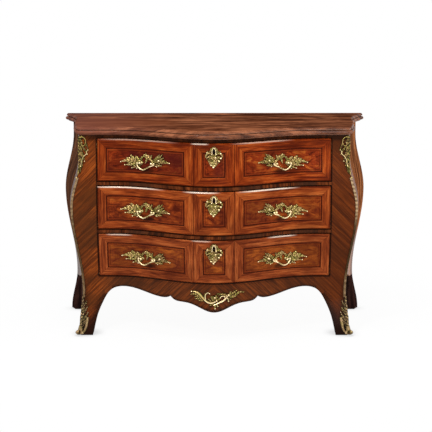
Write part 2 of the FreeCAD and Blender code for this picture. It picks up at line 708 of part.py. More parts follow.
APRON_MOUNT_LEAVES = (
    ((14, -26), (-100, 24), 6, -6),
    ((-74, 8), (-92, 32), 7, -5),
    ((-64, 6), (-106, 15), 4, -6),
    ((-14, -24), (46, 20), -8, -17),
    ((36, 4), (115, 23), 7, -3),
    ((38, 8), (88, 32), 5, -4),
    ((36, 2), (84, 4), 4, -4),
    ((-16, 0), (20, 8), 12, -12),
    ((2, -32), (2, 14), 6, -6),
    ((-34, -6), (-6, 27), 9, 2),
    ((4, -12), (5, -41), 7, -7),
    ((4, -18), (21, -31), 4, -5),
    ((4, -18), (-13, -32), 5, -4),
)


def handle_place(row, side):
    """Middle of a handle's pivot line in the front view."""
    low, high = drawer_levels(row)
    return side * HANDLE_X, (low + high) / 2 - HANDLE_DROP


def handle_frame(row, side):
    """Middle of a pivot line on the wood, the direction of the line, and the outward direction."""
    x, z = handle_place(row, side)
    along = Vector(1, bow_slope(x), 0).normalize()
    outward = Vector(along.y, -along.x, 0)
    return Vector(x, front_y(x, z) - DRAWER_PROUD, z), along, outward


def handle_bore(row, side, pivot, radius):
    """Cylinder through the drawer front behind one pivot post."""
    middle, along, outward = handle_frame(row, side)
    start = middle + along * (pivot * PIVOT_HALF_SPAN) + outward * PIVOT_REACH
    return Part.makeCylinder(radius, FRONT_BULGE + 4 * DRAWER_FRONT_THICKNESS, start, outward * -1)


def handle_plate(row, side):
    """Pierced foliate plate that follows the drawer front, with two posts that carry the bail."""
    x, z = handle_place(row, side)
    slab = front_block(x - HANDLE_REACH, x + HANDLE_REACH, z - HANDLE_REACH / 2, z + HANDLE_REACH / 2,
                       DRAWER_PROUD + MOUNT_GAP + PLATE_RELIEF, PLATE_RELIEF)
    plate = foliage(HANDLE_LEAVES, x, z, side > 0).common(slab)
    middle, along, outward = handle_frame(row, side)
    pivot_line = middle + outward * PIVOT_REACH
    posts = []
    for pivot in (-1, 1):
        foot = middle + along * (pivot * PIVOT_HALF_SPAN) + outward * (PLATE_RELIEF / 2 + MOUNT_GAP)
        posts.append(Part.makeCylinder(POST_RADIUS, PIVOT_REACH - PLATE_RELIEF / 2 - MOUNT_GAP, foot, outward))
        posts.append(Part.makeSphere(POST_RADIUS, pivot_line + along * (pivot * PIVOT_HALF_SPAN)))
    bore_start = pivot_line - along * BAIL_HALF_SPAN
    bore = Part.makeCylinder(PIN_RADIUS + PIN_CLEARANCE, 2 * BAIL_HALF_SPAN, bore_start, along)
    return plate.fuse(posts).cut(bore)


def bail(row, side):
    """Drop handle: a bow of round section with a knuckle at each end and pins that turn in the posts."""
    middle, along, outward = handle_frame(row, side)
    pivot_line = middle + outward * PIVOT_REACH
    radius = (BAIL_HALF_SPAN ** 2 + BAIL_DROP ** 2) / (2 * BAIL_DROP)
    centre = pivot_line + Vector(0, 0, radius - BAIL_DROP)
    half_turn = math.degrees(math.asin(BAIL_HALF_SPAN / radius))
    start = pivot_line - along * BAIL_HALF_SPAN
    tangent = outward.cross(start - centre).normalize()
    section = Part.Face(Part.Wire(Part.makeCircle(BAIL_RADIUS, start, tangent)))
    solids = [section.revolve(centre, outward, 2 * half_turn)]
    for end in (-1, 1):
        knuckle = pivot_line + along * (end * BAIL_HALF_SPAN)
        solids.append(Part.makeSphere(BAIL_KNUCKLE, knuckle))
        pin_length = BAIL_HALF_SPAN - PIVOT_HALF_SPAN + POST_RADIUS
        solids.append(Part.makeCylinder(PIN_RADIUS, pin_length, knuckle, along * -end))
    return solids[0].fuse(solids[1:])


def handle_bolts(row):
    """Bolts that hold both handle plates, each with a square nut inside the drawer."""
    solids = []
    for side in (-1, 1):
        middle, along, outward = handle_frame(row, side)
        for pivot in (-1, 1):
            start = middle + along * (pivot * PIVOT_HALF_SPAN)
            inner_y = drawer_inner_y(row, start.x)
            grip = (inner_y - start.y) * abs(outward.y) + NUT_WIDTH / 2 * abs(bow_slope(start.x))
            shank = Part.makeCylinder(HANDLE_BOLT_RADIUS, grip + NUT_HEIGHT, start, outward * -1)
            nut = Part.makeCylinder(NUT_WIDTH / 2, NUT_HEIGHT, start - outward * (grip + MOUNT_GAP), outward * -1)
            solids.append(shank.fuse(nut))
    return Part.makeCompound(solids)


def escutcheon(row):
    """Foliate keyhole plate on the middle of a drawer front."""
    z = drawer_levels(row)[1] - ESCUTCHEON_HALF_HEIGHT - ESCUTCHEON_DROP
    wide = ESCUTCHEON_HALF_WIDTH + SPARE
    tall = ESCUTCHEON_HALF_HEIGHT + SPARE
    face = DRAWER_PROUD + MOUNT_GAP + ESCUTCHEON_RELIEF
    slab = front_block(-wide, wide, z - tall, z + tall, face, ESCUTCHEON_RELIEF)
    return foliage(ESCUTCHEON_LEAVES, 0, z, False).common(slab).cut(keyhole(row, FIT))


def apron_mount():
    """Asymmetrical spray on the middle of the apron."""
    reach = APRON_MOUNT_REACH
    slab = front_block(-reach, reach, APRON_MOUNT_HEIGHT - reach / 2, APRON_MOUNT_HEIGHT + reach / 2,
                       MOUNT_GAP + APRON_MOUNT_RELIEF, APRON_MOUNT_RELIEF)
    return foliage(APRON_MOUNT_LEAVES, 0, APRON_MOUNT_HEIGHT, False).common(slab)


def corner_wrap(z0, z1, relief, front_width, side_width):
    """Mount round the right front corner, as wide on each face as its width function says."""
    heights = spread(z0, z1, MOUNT_STEP)
    corners = [(side_x(front_y(FAR, z), z), front_y(FAR, z), z) for z in heights]
    front_edge = [Vector(x - front_width(z), 0, z) for x, y, z in corners]
    side_edge = [Vector(0, y + side_width(z), z) for x, y, z in corners]
    far_front = [Vector(FAR, 0, z1), Vector(FAR, 0, z0)]
    far_side = [Vector(0, -FAR, z1), Vector(0, -FAR, z0)]
    front_face = Part.Face(Part.Wire([curve(front_edge), line(front_edge[-1], far_front[0]), line(*far_front),
                                      line(far_front[1], front_edge[0])]))
    side_face = Part.Face(Part.Wire([curve(side_edge), line(side_edge[-1], far_side[0]), line(*far_side),
                                     line(far_side[1], side_edge[0])]))
    front_face.translate(Vector(0, -FAR, 0))
    window = front_face.extrude(Vector(0, 2 * FAR, 0)).common(side_face.extrude(Vector(2 * FAR, 0, 0)))
    grown = corner_post(z0 - SPARE, z1 + SPARE, MOUNT_GAP + relief)
    return window.common(grown).cut(corner_post(z0 - SPARE, z1 + SPARE, MOUNT_GAP))


def corner_fillet():
    """Plain brass strip down the corner between the corner mount and the foot mount."""
    return corner_wrap(SABOT_TOP, CHUTE_BOTTOM, FILLET_RELIEF, lambda z: FILLET_WIDTH, lambda z: FILLET_WIDTH)


def chute():
    """Leafy corner mount under the top, tapering down into the strip."""

    def width(z):
        share = (z - CHUTE_BOTTOM) / CHUTE_LENGTH
        leaf = math.sin(math.pi * share ** CHUTE_SKEW)
        leaf *= 1 + LEAF_SCALLOP * math.cos(2 * math.pi * CHUTE_SCALLOPS * share)
        return FILLET_WIDTH + (CHUTE_WIDTH - FILLET_WIDTH) * leaf + FILLET_WIDTH * share

    return corner_wrap(CHUTE_BOTTOM, CHUTE_TOP, CHUTE_RELIEF, width, lambda z: width(z) / 2)


def sabot():
    """Leafy foot mount with a scroll at the toe."""

    def width(z):
        share = (SABOT_TOP - z) / (SABOT_TOP - SABOT_BOTTOM)
        leaf = share * (1 + LEAF_SCALLOP * math.cos(2 * math.pi * SABOT_SCALLOPS * share))
        return FILLET_WIDTH + (SABOT_WIDTH - FILLET_WIDTH) * leaf

    wrap = corner_wrap(SABOT_BOTTOM, SABOT_TOP, SABOT_RELIEF, width, width)
    z = SABOT_BOTTOM + TOE_SCROLL_RADIUS
    y = front_y(FAR, z)
    across = Vector(1, 1, 0).normalize()
    start = Vector(side_x(y, z), y, z) + Vector(1, -1, 0) * (SABOT_RELIEF / 2) - across * (TOE_SCROLL_LENGTH / 2)
    scroll = Part.makeCylinder(TOE_SCROLL_RADIUS, TOE_SCROLL_LENGTH, start, across)
    scroll = scroll.cut(corner_post(-SPARE, ANKLE_HEIGHT, MOUNT_GAP))
    return wrap.fuse(scroll)


def build():
    """Every piece by name."""
    opening = front_opening()
    side_cut = side_opening()
    pieces = {"top": top(), "back_boards": back_boards(), "drawer_runners": runners(), "drawer_stops": stops(),
              "apron": apron(opening), "apron_mount": apron_mount()}
    pairs = {"front_{}_leg": front_leg(opening, side_cut), "rear_{}_leg": rear_leg(side_cut),
             "{}_side_panel": side_panel(side_cut), "{}_corner_mount": chute(), "{}_corner_fillet": corner_fillet(),
             "{}_foot_mount": sabot()}
    for name, right in pairs.items():
        pieces[name.format("right")] = right
        pieces[name.format("left")] = mirrored(right)
    for row, name in enumerate(("top_rail", "upper_rail", "lower_rail")):
        pieces[name] = rail(row)
    for row, name in enumerate(("upper_dust_board", "lower_dust_board", "bottom_board")):
        pieces[name] = dust_board(row)
    for row, name in enumerate(DRAWER_NAMES):
        pieces[name + "_drawer_front"] = drawer_front(row)
        pieces[name + "_drawer_sides"] = drawer_sides(row)
        pieces[name + "_drawer_back"] = drawer_back(row)
        pieces[name + "_drawer_bottom"] = drawer_bottom(row)
        pieces[name + "_drawer_escutcheon"] = escutcheon(row)
        pieces[name + "_drawer_lock_case"] = lock_case(row)
        pieces[name + "_drawer_lock_bolt"] = lock_bolt(row)
        pieces[name + "_drawer_handle_bolts"] = handle_bolts(row)
        for side, word in ((-1, "left"), (1, "right")):
            pieces["{}_drawer_{}_handle_plate".format(name, word)] = handle_plate(row, side)
            pieces["{}_drawer_{}_bail".format(name, word)] = bail(row, side)
    return pieces


os.makedirs("parts", exist_ok=True)
for name, shape in build().items():
    shape.exportStep("parts/{}.step".format(name))
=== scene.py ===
"""Looks of the bombe serpentine commode: veneers, gilt mounts, studio and camera."""
import math

import bmesh
import bpy
from mathutils import Matrix, Vector


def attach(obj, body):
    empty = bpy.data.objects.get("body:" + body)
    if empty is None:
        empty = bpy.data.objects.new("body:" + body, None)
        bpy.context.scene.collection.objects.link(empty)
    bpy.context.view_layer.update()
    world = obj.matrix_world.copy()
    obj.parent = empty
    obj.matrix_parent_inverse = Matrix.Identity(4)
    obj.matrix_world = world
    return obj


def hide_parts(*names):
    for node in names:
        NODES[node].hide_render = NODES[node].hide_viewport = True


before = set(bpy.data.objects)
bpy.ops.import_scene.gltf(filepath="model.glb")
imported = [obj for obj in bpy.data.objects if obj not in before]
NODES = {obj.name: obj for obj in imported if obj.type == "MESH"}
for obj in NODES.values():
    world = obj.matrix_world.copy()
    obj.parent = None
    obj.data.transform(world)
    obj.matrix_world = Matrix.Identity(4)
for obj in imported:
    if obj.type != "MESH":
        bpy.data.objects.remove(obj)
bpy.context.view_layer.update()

# Sizes repeated from the part, in millimetres
MM = 0.001
FRONT_Y = -137.0
CORNER_DEPTH = 446.0
CORNER_HALF_WIDTH = 535.0
REAR_HALF_WIDTH = 600.0
SIDE_SWELL = 0.14
BOW = 140.0
BOW_HALF_WIDTH = 405.0
FRONT_PROFILE = ((0.0, 10.0), (172.0, -28.0), (527.0, 20.0), (818.0, 0.0))
CORNER_PROFILE = ((0.0, 6.0), (172.0, -8.0), (527.0, 38.0), (722.5, 0.0), (818.0, 0.0))
REAR_PROFILE = ((0.0, 21.0), (172.0, -5.0), (527.0, 39.0), (770.1, 0.0), (818.0, 0.0))
DRAWER_NAMES = ("top", "middle", "bottom")
DRAWER_LEVELS = ((635.0, 803.0), (441.0, 614.0), (241.0, 420.0))
DRAWER_PROUD = 7.0
DRAWER_HALF_WIDTH = 465.0
HANDLE_X = 264.8
HANDLE_DROP = 7.0
PIVOT_HALF_SPAN = 26.0
PIVOT_REACH = 12.0
BAIL_HALF_SPAN = 37.0
PIN_RADIUS = 2.2
KEYHOLE_DROP = 26.0
APRON_MOUNT_HEIGHT = 178.0
MOUNT_GAP = 0.25
SIDE_SPRING = 148.0
CORNER_ROUNDING = 6.0

# Handle plates by drawer from the top: rise over run, drop in millimetres; cosine of the front's slant there
HANDLE_TILTS = {"left": (0.085, 0.04, -0.01), "right": (0.11, 0.12, 0.04)}
HANDLE_SINKS = (0.0, 2.0, 4.0)
PIVOT_SLANT_COSINE = 0.9012

# Scroll over a toe, as points out from the corner and up, with the level at which it meets the corner
TOE_LEVEL = 14.0
TOE_STEPS = 28
TOE_CURL = ((4.0, 40.0), (5.5, 28.0), (8.0, 17.0), (13.0, 9.0),
            (20.0, 10.0), (22.0, 17.0), (17.5, 21.0), (14.0, 17.0))

# Marks on the veneers, in metres: the drawers' edges and divisions, lines set in from a panel's edge,
# the upper edge of the apron and the edges of the rails; shade is painted along the drawers', apron's and
# rails' edges
DRAWER_EDGE = DRAWER_HALF_WIDTH * MM
DIVISION_X = 0.080
FIELD_INSET = 0.0365
STRING_INSET = 0.0375
RIM_INSET = 0.0455
LINE_INSET = 0.0468
APRON_EDGE = 0.2385
RAIL_EDGES = (0.805, 0.633, 0.616, 0.439, 0.422)
BEAD_PITCH = 0.016
DIAGONAL = 0.7071

# Scales of the wood's figure, streaks and pores: along the grain, across it and in depth
FIGURE_SCALES = (4.0, 62.0, 9.0)
STREAK_SCALES = (14.0, 180.0, 5.0)
PORE_SCALES = (22.0, 420.0, 1.0)

# Camera of the photograph, in millimetres and radians
CAMERA_PLACE = (28.63, -6046.23, 1635.93)
CAMERA_YAW = 0.00358
CAMERA_PITCH = 0.19151
CAMERA_ROLL = -0.00088
CAMERA_LENS = 125.274
SENSOR_WIDTH = 36.0


def profile(knots, height):
    """Offset at a height, as half cosine waves between the (height, offset) knots."""
    for (low, low_offset), (high, high_offset) in zip(knots, knots[1:]):
        if height <= high:
            share = (1 - math.cos(math.pi * (height - low) / (high - low))) / 2
            return low_offset + (high_offset - low_offset) * share
    return knots[-1][1]


def bow(x):
    if abs(x) >= BOW_HALF_WIDTH:
        return 0.0
    return (1 + math.cos(math.pi * x / BOW_HALF_WIDTH)) / 2


def front_y(x, z):
    """The bombe front surface."""
    return FRONT_Y - profile(FRONT_PROFILE, z) - BOW * bow(x)


def side_x(y, z):
    """The bombe surface of the right-hand side."""
    along = (y - FRONT_Y) / CORNER_DEPTH
    share = along * abs(along) + SIDE_SWELL * math.sin(2 * math.pi * along)
    corner = CORNER_HALF_WIDTH + profile(CORNER_PROFILE, z)
    rear = REAR_HALF_WIDTH + profile(REAR_PROFILE, z)
    return corner + (rear - corner) * share


def handle_level(row):
    """Height of the pivots of a drawer's handles."""
    return sum(DRAWER_LEVELS[row]) / 2 - HANDLE_DROP


def on_front(x0, z0, proud, flip):
    """Place on the front: u to the right (flipped for flip -1), w up, h out from the wood."""

    def place(u, w, h):
        x = x0 + flip * u
        z = z0 + w
        y = front_y(x, z) - proud
        slope_x = (front_y(x + 1, z) - front_y(x - 1, z)) / 2
        slope_z = (front_y(x, z + 1) - front_y(x, z - 1)) / 2
        normal = Vector((slope_x, -1.0, slope_z)).normalized()
        return (Vector((x, y, z)) + normal * (h + MOUNT_GAP)) * MM

    return place


def on_corner(side):
    """Place round a front corner: a runs inward on the front if negative, back along the side if positive."""

    def place(a, w, h):
        y = front_y(BOW_HALF_WIDTH, w)
        x = side_x(y, w)
        share = min(1.0, max(0.0, (a + CORNER_ROUNDING) / (2 * CORNER_ROUNDING)))
        normal = Vector((math.sin(share * math.pi / 2), -math.cos(share * math.pi / 2), 0.0))
        if a > 0:
            base = Vector((side_x(y + a, w), y + a, w))
        else:
            base = Vector((x + a, y, w))
        point = base + normal * (h + MOUNT_GAP)
        return Vector((side * point.x, point.y, point.z)) * MM

    return place


def smooth_path(points, count):
    """Points along a smooth curve through the given ones, in equal steps of its parameter."""
    ends = [2 * points[0] - points[1]] + list(points) + [2 * points[-1] - points[-2]]
    spans = len(points) - 1
    path = []
    for index in range(count + 1):
        place = spans * index / count
        span = min(spans - 1, int(place))
        t = place - span
        p0, p1, p2, p3 = ends[span:span + 4]
        path.append(0.5 * (2 * p1 + (p2 - p0) * t + (2 * p0 - 5 * p1 + 4 * p2 - p3) * t * t
                           + (3 * p1 - p0 - 3 * p2 + p3) * t * t * t))
    return path


class Relief:
    """Closed leaves, scrolls and beads on a curved ground, gathered into one mesh."""

    def __init__(self, place):
        self.place = place
        self.points = []
        self.faces = []
        self.shades = []

    def add(self, points, shade):
        self.points += points
        self.shades += shade
        return len(self.points) - len(points)

    def leaf(self, path, width, rise, lobes=3, base=0.4, lift=2.0, bite=0.42, groove=0.4, columns=8):
        """Pointed leaf along a path, with lobes toward the tip, a channelled middle and veins."""
        rows = max(12, 6 * lobes)
        line = smooth_path([Vector(p) for p in path], rows)
        points = []
        shades = []
        for i, middle in enumerate(line):
            t = i / rows
            ahead = line[min(rows, i + 1)] - line[max(0, i - 1)]
            across = Vector((-ahead.y, ahead.x)).normalized()
            form = min(1.0, (t + 0.1) ** 0.55 * 1.25) * (1.0 - t ** 2.6) + 0.03
            beat = (t * lobes) % 1.0 if lobes else 1.0
            reach = 1.0 - bite + bite * beat ** 0.8
            half = width * form * reach
            for j in range(columns + 1):
                s = 2.0 * j / columns - 1.0
                vein = 0.5 + 0.5 * math.cos(2 * math.pi * (lobes * t - 0.7 * abs(s)))
                crown = 1.0 - abs(s) ** 2.2
                crown -= groove * math.exp(-(s / 0.22) ** 2) * crown
                height = rise * (0.35 + 0.65 * form) * crown * (0.6 + 0.4 * vein)
                point = middle + across * (half * s)
                points.append(self.place(point.x, point.y, base + height + lift * t ** 3))
                bright = crown * (0.2 + 0.8 * vein) * (0.35 + 0.65 * reach) * (0.6 + 0.4 * t) * 1.3
                shades.append(min(1.0, bright))
        first = self.add(points, shades)
        wide = columns + 1
        for i in range(rows):
            for j in range(columns):
                a = first + i * wide + j
                self.faces.append((a, a + 1, a + wide + 1, a + wide))
            a = first + i * wide
            self.faces.append((a + columns, a, a + wide, a + wide + columns))
        self.faces.append(tuple(first + j for j in range(wide)))
        self.faces.append(tuple(first + rows * wide + j for j in range(columns, -1, -1)))

    def scroll(self, path, thick, thin, height=3.0, flat=1.0, sides=10, bead=True, shine=1.0):
        """Round stem along a path that thins toward its end, with a bead there."""
        rows = 6 * (len(path) - 1)
        line = smooth_path([Vector((p[0], p[1], p[2] if len(p) > 2 else height)) for p in path], rows)
        points = []
        shades = []
        for i, middle in enumerate(line):
            t = i / rows
            ahead = (line[min(rows, i + 1)] - line[max(0, i - 1)]).normalized()
            across = Vector((-ahead.y, ahead.x, 0.0))
            if across.length < 0.05:
                across = Vector((1.0, 0.0, 0.0))
            across.normalize()
            out = ahead.cross(across) * -1.0
            radius = thick + (thin - thick) * t
            for j in range(sides):
                turn = 2 * math.pi * j / sides
                rise = math.sin(turn)
                point = middle + across * (radius * math.cos(turn)) + out * (flat * radius * rise)
                points.append(self.place(*point))
                shades.append(shine * (0.5 + 0.5 * abs(rise) * (1.0 if rise < 0 else 0.9)))
        self.tube(points, shades, rows, sides)
        if bead:
            end = line[-1]
            self.bead(end.x, end.y, end.z, 1.45 * thin + 0.6)

    def tube(self, points, shades, rows, sides):
        """Closed skin over rings of points."""
        first = self.add(points, shades)
        for i in range(rows):
            for j in range(sides):
                a = first + i * sides + j
                b = first + i * sides + (j + 1) % sides
                self.faces.append((a, b, b + sides, a + sides))
        self.faces.append(tuple(first + j for j in range(sides - 1, -1, -1)))
        self.faces.append(tuple(first + rows * sides + j for j in range(sides)))

    def leaves(self, *leaves):
        for leaf in leaves:
            self.leaf(*leaf)

    def beads(self, height, *beads):
        """Beads at one height, each as its two places and its radius."""
        for u, w, radius in beads:
            self.bead(u, w, height, radius)

    def bead(self, u, w, h, radius, flat=0.85):
        """Flattened ball."""
        sides = 12
        rings = 8
        points = [self.place(u, w, h - flat * radius)]
        shades = [0.2]
        for i in range(1, rings):
            lean = math.pi * i / rings
            for j in range(sides):
                turn = 2 * math.pi * j / sides
                reach = radius * math.sin(lean)
                points.append(self.place(u + reach * math.cos(turn), w + reach * math.sin(turn),
                                         h - flat * radius * math.cos(lean)))
                shades.append(0.3 + 0.7 * i / rings)
        points.append(self.place(u, w, h + flat * radius))
        shades.append(1.0)
        first = self.add(points, shades)
        last = len(self.points) - 1
        for j in range(sides):
            k = (j + 1) % sides
            self.faces.append((first, first + 1 + k, first + 1 + j))
            self.faces.append((last, last - sides + j, last - sides + k))
            for i in range(rings - 2):
                a = first + 1 + i * sides
                self.faces.append((a + j, a + k, a + sides + k, a + sides + j))

    def finish(self, name, body, material, *nodes):
        """Makes the object, with the relief kept as a vertex value for the material."""
        mesh = bpy.data.meshes.new(name)
        mesh.from_pydata(self.points, [], self.faces)
        work = bmesh.new()
        work.from_mesh(mesh)
        bmesh.ops.recalc_face_normals(work, faces=work.faces)
        work.to_mesh(mesh)
        work.free()
        relief = mesh.attributes.new("relief", "FLOAT", "POINT")
        relief.data.foreach_set("value", self.shades)
        mesh.polygons.foreach_set("use_smooth", [True] * len(mesh.polygons))
        mesh.set_sharp_from_angle(angle=math.radians(50))
        piece = bpy.data.objects.new(name, mesh)
        bpy.context.scene.collection.objects.link(piece)
        mesh.materials.append(material)
        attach(piece, body)
        if nodes:
            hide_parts(*nodes)


def tone(red, green, blue):
    """Linear colour from the usual 0 to 255 screen values."""
    values = []
    for level in (red, green, blue):
        share = level / 255
        values.append(share / 12.92 if share <= 0.04045 else ((share + 0.055) / 1.055) ** 2.4)
    return (*values, 1.0)


def stops(places, *tones):
    """Stops of a colour ramp, with each tone in screen values."""
    return tuple((place, tone(*values)) for place, values in zip(places, tones))


class Paint:
    """A material and short ways to add nodes to it."""

    def __init__(self, name):
        self.material = bpy.data.materials.new(name)
        self.material.use_nodes = True
        self.tree = self.material.node_tree
        self.shader = self.tree.nodes["Principled BSDF"]

    def node(self, kind, *values):
        node = self.tree.nodes.new(kind)
        for value, socket in zip(values, node.inputs):
            self.put(value, socket)
        return node

    def put(self, value, socket):
        if isinstance(value, bpy.types.NodeSocket):
            self.tree.links.new(value, socket)
        elif value is not None:
            socket.default_value = value

    def math(self, operation, *values):
        node = self.node("ShaderNodeMath", *values)
        node.operation = operation
        return node.outputs[0]

    def coordinates(self):
        place = self.node("ShaderNodeTexCoord").outputs["Object"]
        return self.node("ShaderNodeSeparateXYZ", place).outputs

    def vector(self, x, y, z):
        return self.node("ShaderNodeCombineXYZ", x, y, z).outputs[0]

    def times(self, value, factor):
        return self.math("MULTIPLY", value, factor)

    def plus(self, value, other):
        return self.math("ADD", value, other)

    def minus(self, value, other):
        return self.math("SUBTRACT", value, other)

    def most(self, value, other):
        return self.math("MAXIMUM", value, other)

    def stretched(self, *pairs):
        """Vector of three coordinates, each given with its factor."""
        return self.vector(*(self.times(coordinate, factor) for coordinate, factor in pairs))

    def noise(self, vector, detail, roughness, distortion):
        node = self.tree.nodes.new("ShaderNodeTexNoise")
        self.put(vector, node.inputs["Vector"])
        node.inputs["Scale"].default_value = 1.0
        node.inputs["Detail"].default_value = detail
        node.inputs["Roughness"].default_value = roughness
        node.inputs["Distortion"].default_value = distortion
        return node.outputs[0]

    def mix(self, share, first, second):
        node = self.tree.nodes.new("ShaderNodeMix")
        node.data_type = "RGBA"
        self.put(share, node.inputs[0])
        self.put(first, node.inputs[6])
        self.put(second, node.inputs[7])
        return node.outputs[2]

    def ramp(self, value, *tones):
        """Colour from a value, with each tone as its place and colour."""
        node = self.node("ShaderNodeValToRGB", value)
        elements = node.color_ramp.elements
        while len(elements) < len(tones):
            elements.new(1.0)
        for element, (position, colour) in zip(elements, tones):
            element.position = position
            element.color = colour
        return node.outputs[0]

    def step(self, value, low, high, most=1.0):
        """0 on low's side, rising smoothly to the most on high's side."""
        node = self.tree.nodes.new("ShaderNodeMapRange")
        node.interpolation_type = "SMOOTHSTEP"
        self.put(value, node.inputs[0])
        node.inputs[1].default_value = low
        node.inputs[2].default_value = high
        node.inputs[4].default_value = most
        return node.outputs[0]

    def grain(self, along, across, deep, seed, pitch=1.0):
        """Broad figure and fine pores of wood that runs along one coordinate, as two values."""
        moved = self.plus(deep, seed)

        def waves(scales, *texture):
            place = self.stretched((along, scales[0]), (across, scales[1] * pitch), (moved, scales[2]))
            return self.noise(place, *texture)

        broad = waves(FIGURE_SCALES, 6.0, 0.66, 0.5)
        streak = waves(STREAK_SCALES, 3.0, 0.6, 0.4)
        fine = waves(PORE_SCALES, 2.0, 0.5, 0.0)
        return self.plus(broad, self.times(self.minus(streak, 0.5), 0.55)), fine

    def near(self, value, place, half):
        """1 within half a width of a place, and 0 elsewhere."""
        return self.math("COMPARE", value, place, half)

    def lines(self, *marks):
        """1 on thin lines, given as (coordinate, place, half width), and 0 elsewhere."""
        share = 0.0
        for mark in marks:
            share = self.most(self.near(*mark), share)
        return share

    def bump(self, height, strength, distance):
        node = self.tree.nodes.new("ShaderNodeBump")
        node.inputs["Strength"].default_value = strength
        node.inputs["Distance"].default_value = distance
        self.put(height, node.inputs["Height"])
        self.put(node.outputs[0], self.shader.inputs["Normal"])

    def normal(self):
        return self.node("ShaderNodeNewGeometry").outputs["Normal"]

    def facing(self):
        """Parts of the normal along x, y and z."""
        return self.node("ShaderNodeSeparateXYZ", self.normal()).outputs

    def edges(self, radius):
        """0 on flat ground, rising to 1 on the edges of a piece."""
        rounded = self.tree.nodes.new("ShaderNodeBevel")
        rounded.samples = 6
        rounded.inputs["Radius"].default_value = radius
        angle = self.tree.nodes.new("ShaderNodeVectorMath")
        angle.operation = "DOT_PRODUCT"
        self.put(rounded.outputs[0], angle.inputs[0])
        self.put(self.normal(), angle.inputs[1])
        return self.step(angle.outputs["Value"], 0.995, 0.9)

    def recess(self, distance, inside=False):
        """1 in the open, falling toward 0 in corners and beside mounts, or on sharp edges if inside."""
        shade = self.tree.nodes.new("ShaderNodeAmbientOcclusion")
        shade.samples = 6
        shade.inside = inside
        self.put(distance, shade.inputs["Distance"])
        return shade.outputs["AO"]

    def surface(self, colour, roughness, specular=0.3, coat=0.0, metallic=0.0):
        self.put(roughness, self.shader.inputs["Roughness"])
        self.shader.inputs["Specular IOR Level"].default_value = specular
        self.shader.inputs["Coat Roughness"].default_value = 0.14
        self.shader.inputs["Metallic"].default_value = metallic
        self.polish(coat)
        return self.recolour(colour)

    def recolour(self, colour):
        self.put(colour, self.shader.inputs["Base Color"])
        return self.material

    def polish(self, weight):
        self.put(weight, self.shader.inputs["Coat Weight"])


STRING_DARK = tone(46, 11, 4)
# Tone of painted shade in gaps, hollows and corners, beside mounts, in the keyhole and under the top
PAINTED_SHADE_TONE = tone(22, 9, 4)
SHADED_SIDE = tone(58, 42, 36)

# Places of a ramp's stops in the grain's values
BAND_STOPS = (0.34, 0.46, 0.54, 0.68)
WOOD_STOPS = (0.36, 0.46, 0.54, 0.66)
TOP_STOPS = (0.38, 0.46, 0.54, 0.63)
BOARD_STOPS = (0.3, 0.5, 0.7)
GILT_STOPS = (0.0, 0.26, 0.56, 0.92)

# Lengths of the upper arris of each drawer with a painted highlight and a coat: middle, half length, strength
ARRIS_HIGHLIGHTS = (((-0.30, 0.13, 0.32), (-0.055, 0.03, 0.7), (0.19, 0.10, 0.4)),
              ((-0.345, 0.12, 0.8), (-0.05, 0.06, 0.7), (0.215, 0.10, 0.85)),
              ((-0.38, 0.045, 0.5), (-0.05, 0.035, 0.4), (0.27, 0.05, 0.7)))

# Tones of each drawer's bands and of the side panels, and of the gilding in two hues, bright and dull
BAND_TONES = (stops(BAND_STOPS, (80, 24, 7), (122, 45, 13), (146, 60, 19), (178, 88, 34)),
              stops(BAND_STOPS, (82, 28, 10), (124, 52, 19), (146, 66, 26), (178, 94, 42)),
              stops(BAND_STOPS, (86, 33, 14), (124, 55, 24), (144, 68, 31), (172, 93, 47)))
SIDE_TONES = stops(WOOD_STOPS, (66, 34, 18), (108, 62, 35), (140, 84, 50), (180, 116, 74))
OLIVE = stops(GILT_STOPS, (32, 25, 8), (98, 88, 34), (174, 156, 84), (240, 221, 168))
CREAM = stops(GILT_STOPS, (42, 29, 13), (116, 89, 48), (192, 160, 100), (250, 224, 178))
UMBER = stops(GILT_STOPS, (28, 22, 10), (84, 70, 38), (146, 126, 80), (216, 192, 148))
TAN = stops(GILT_STOPS, (38, 26, 15), (100, 78, 50), (168, 138, 100), (232, 204, 168))


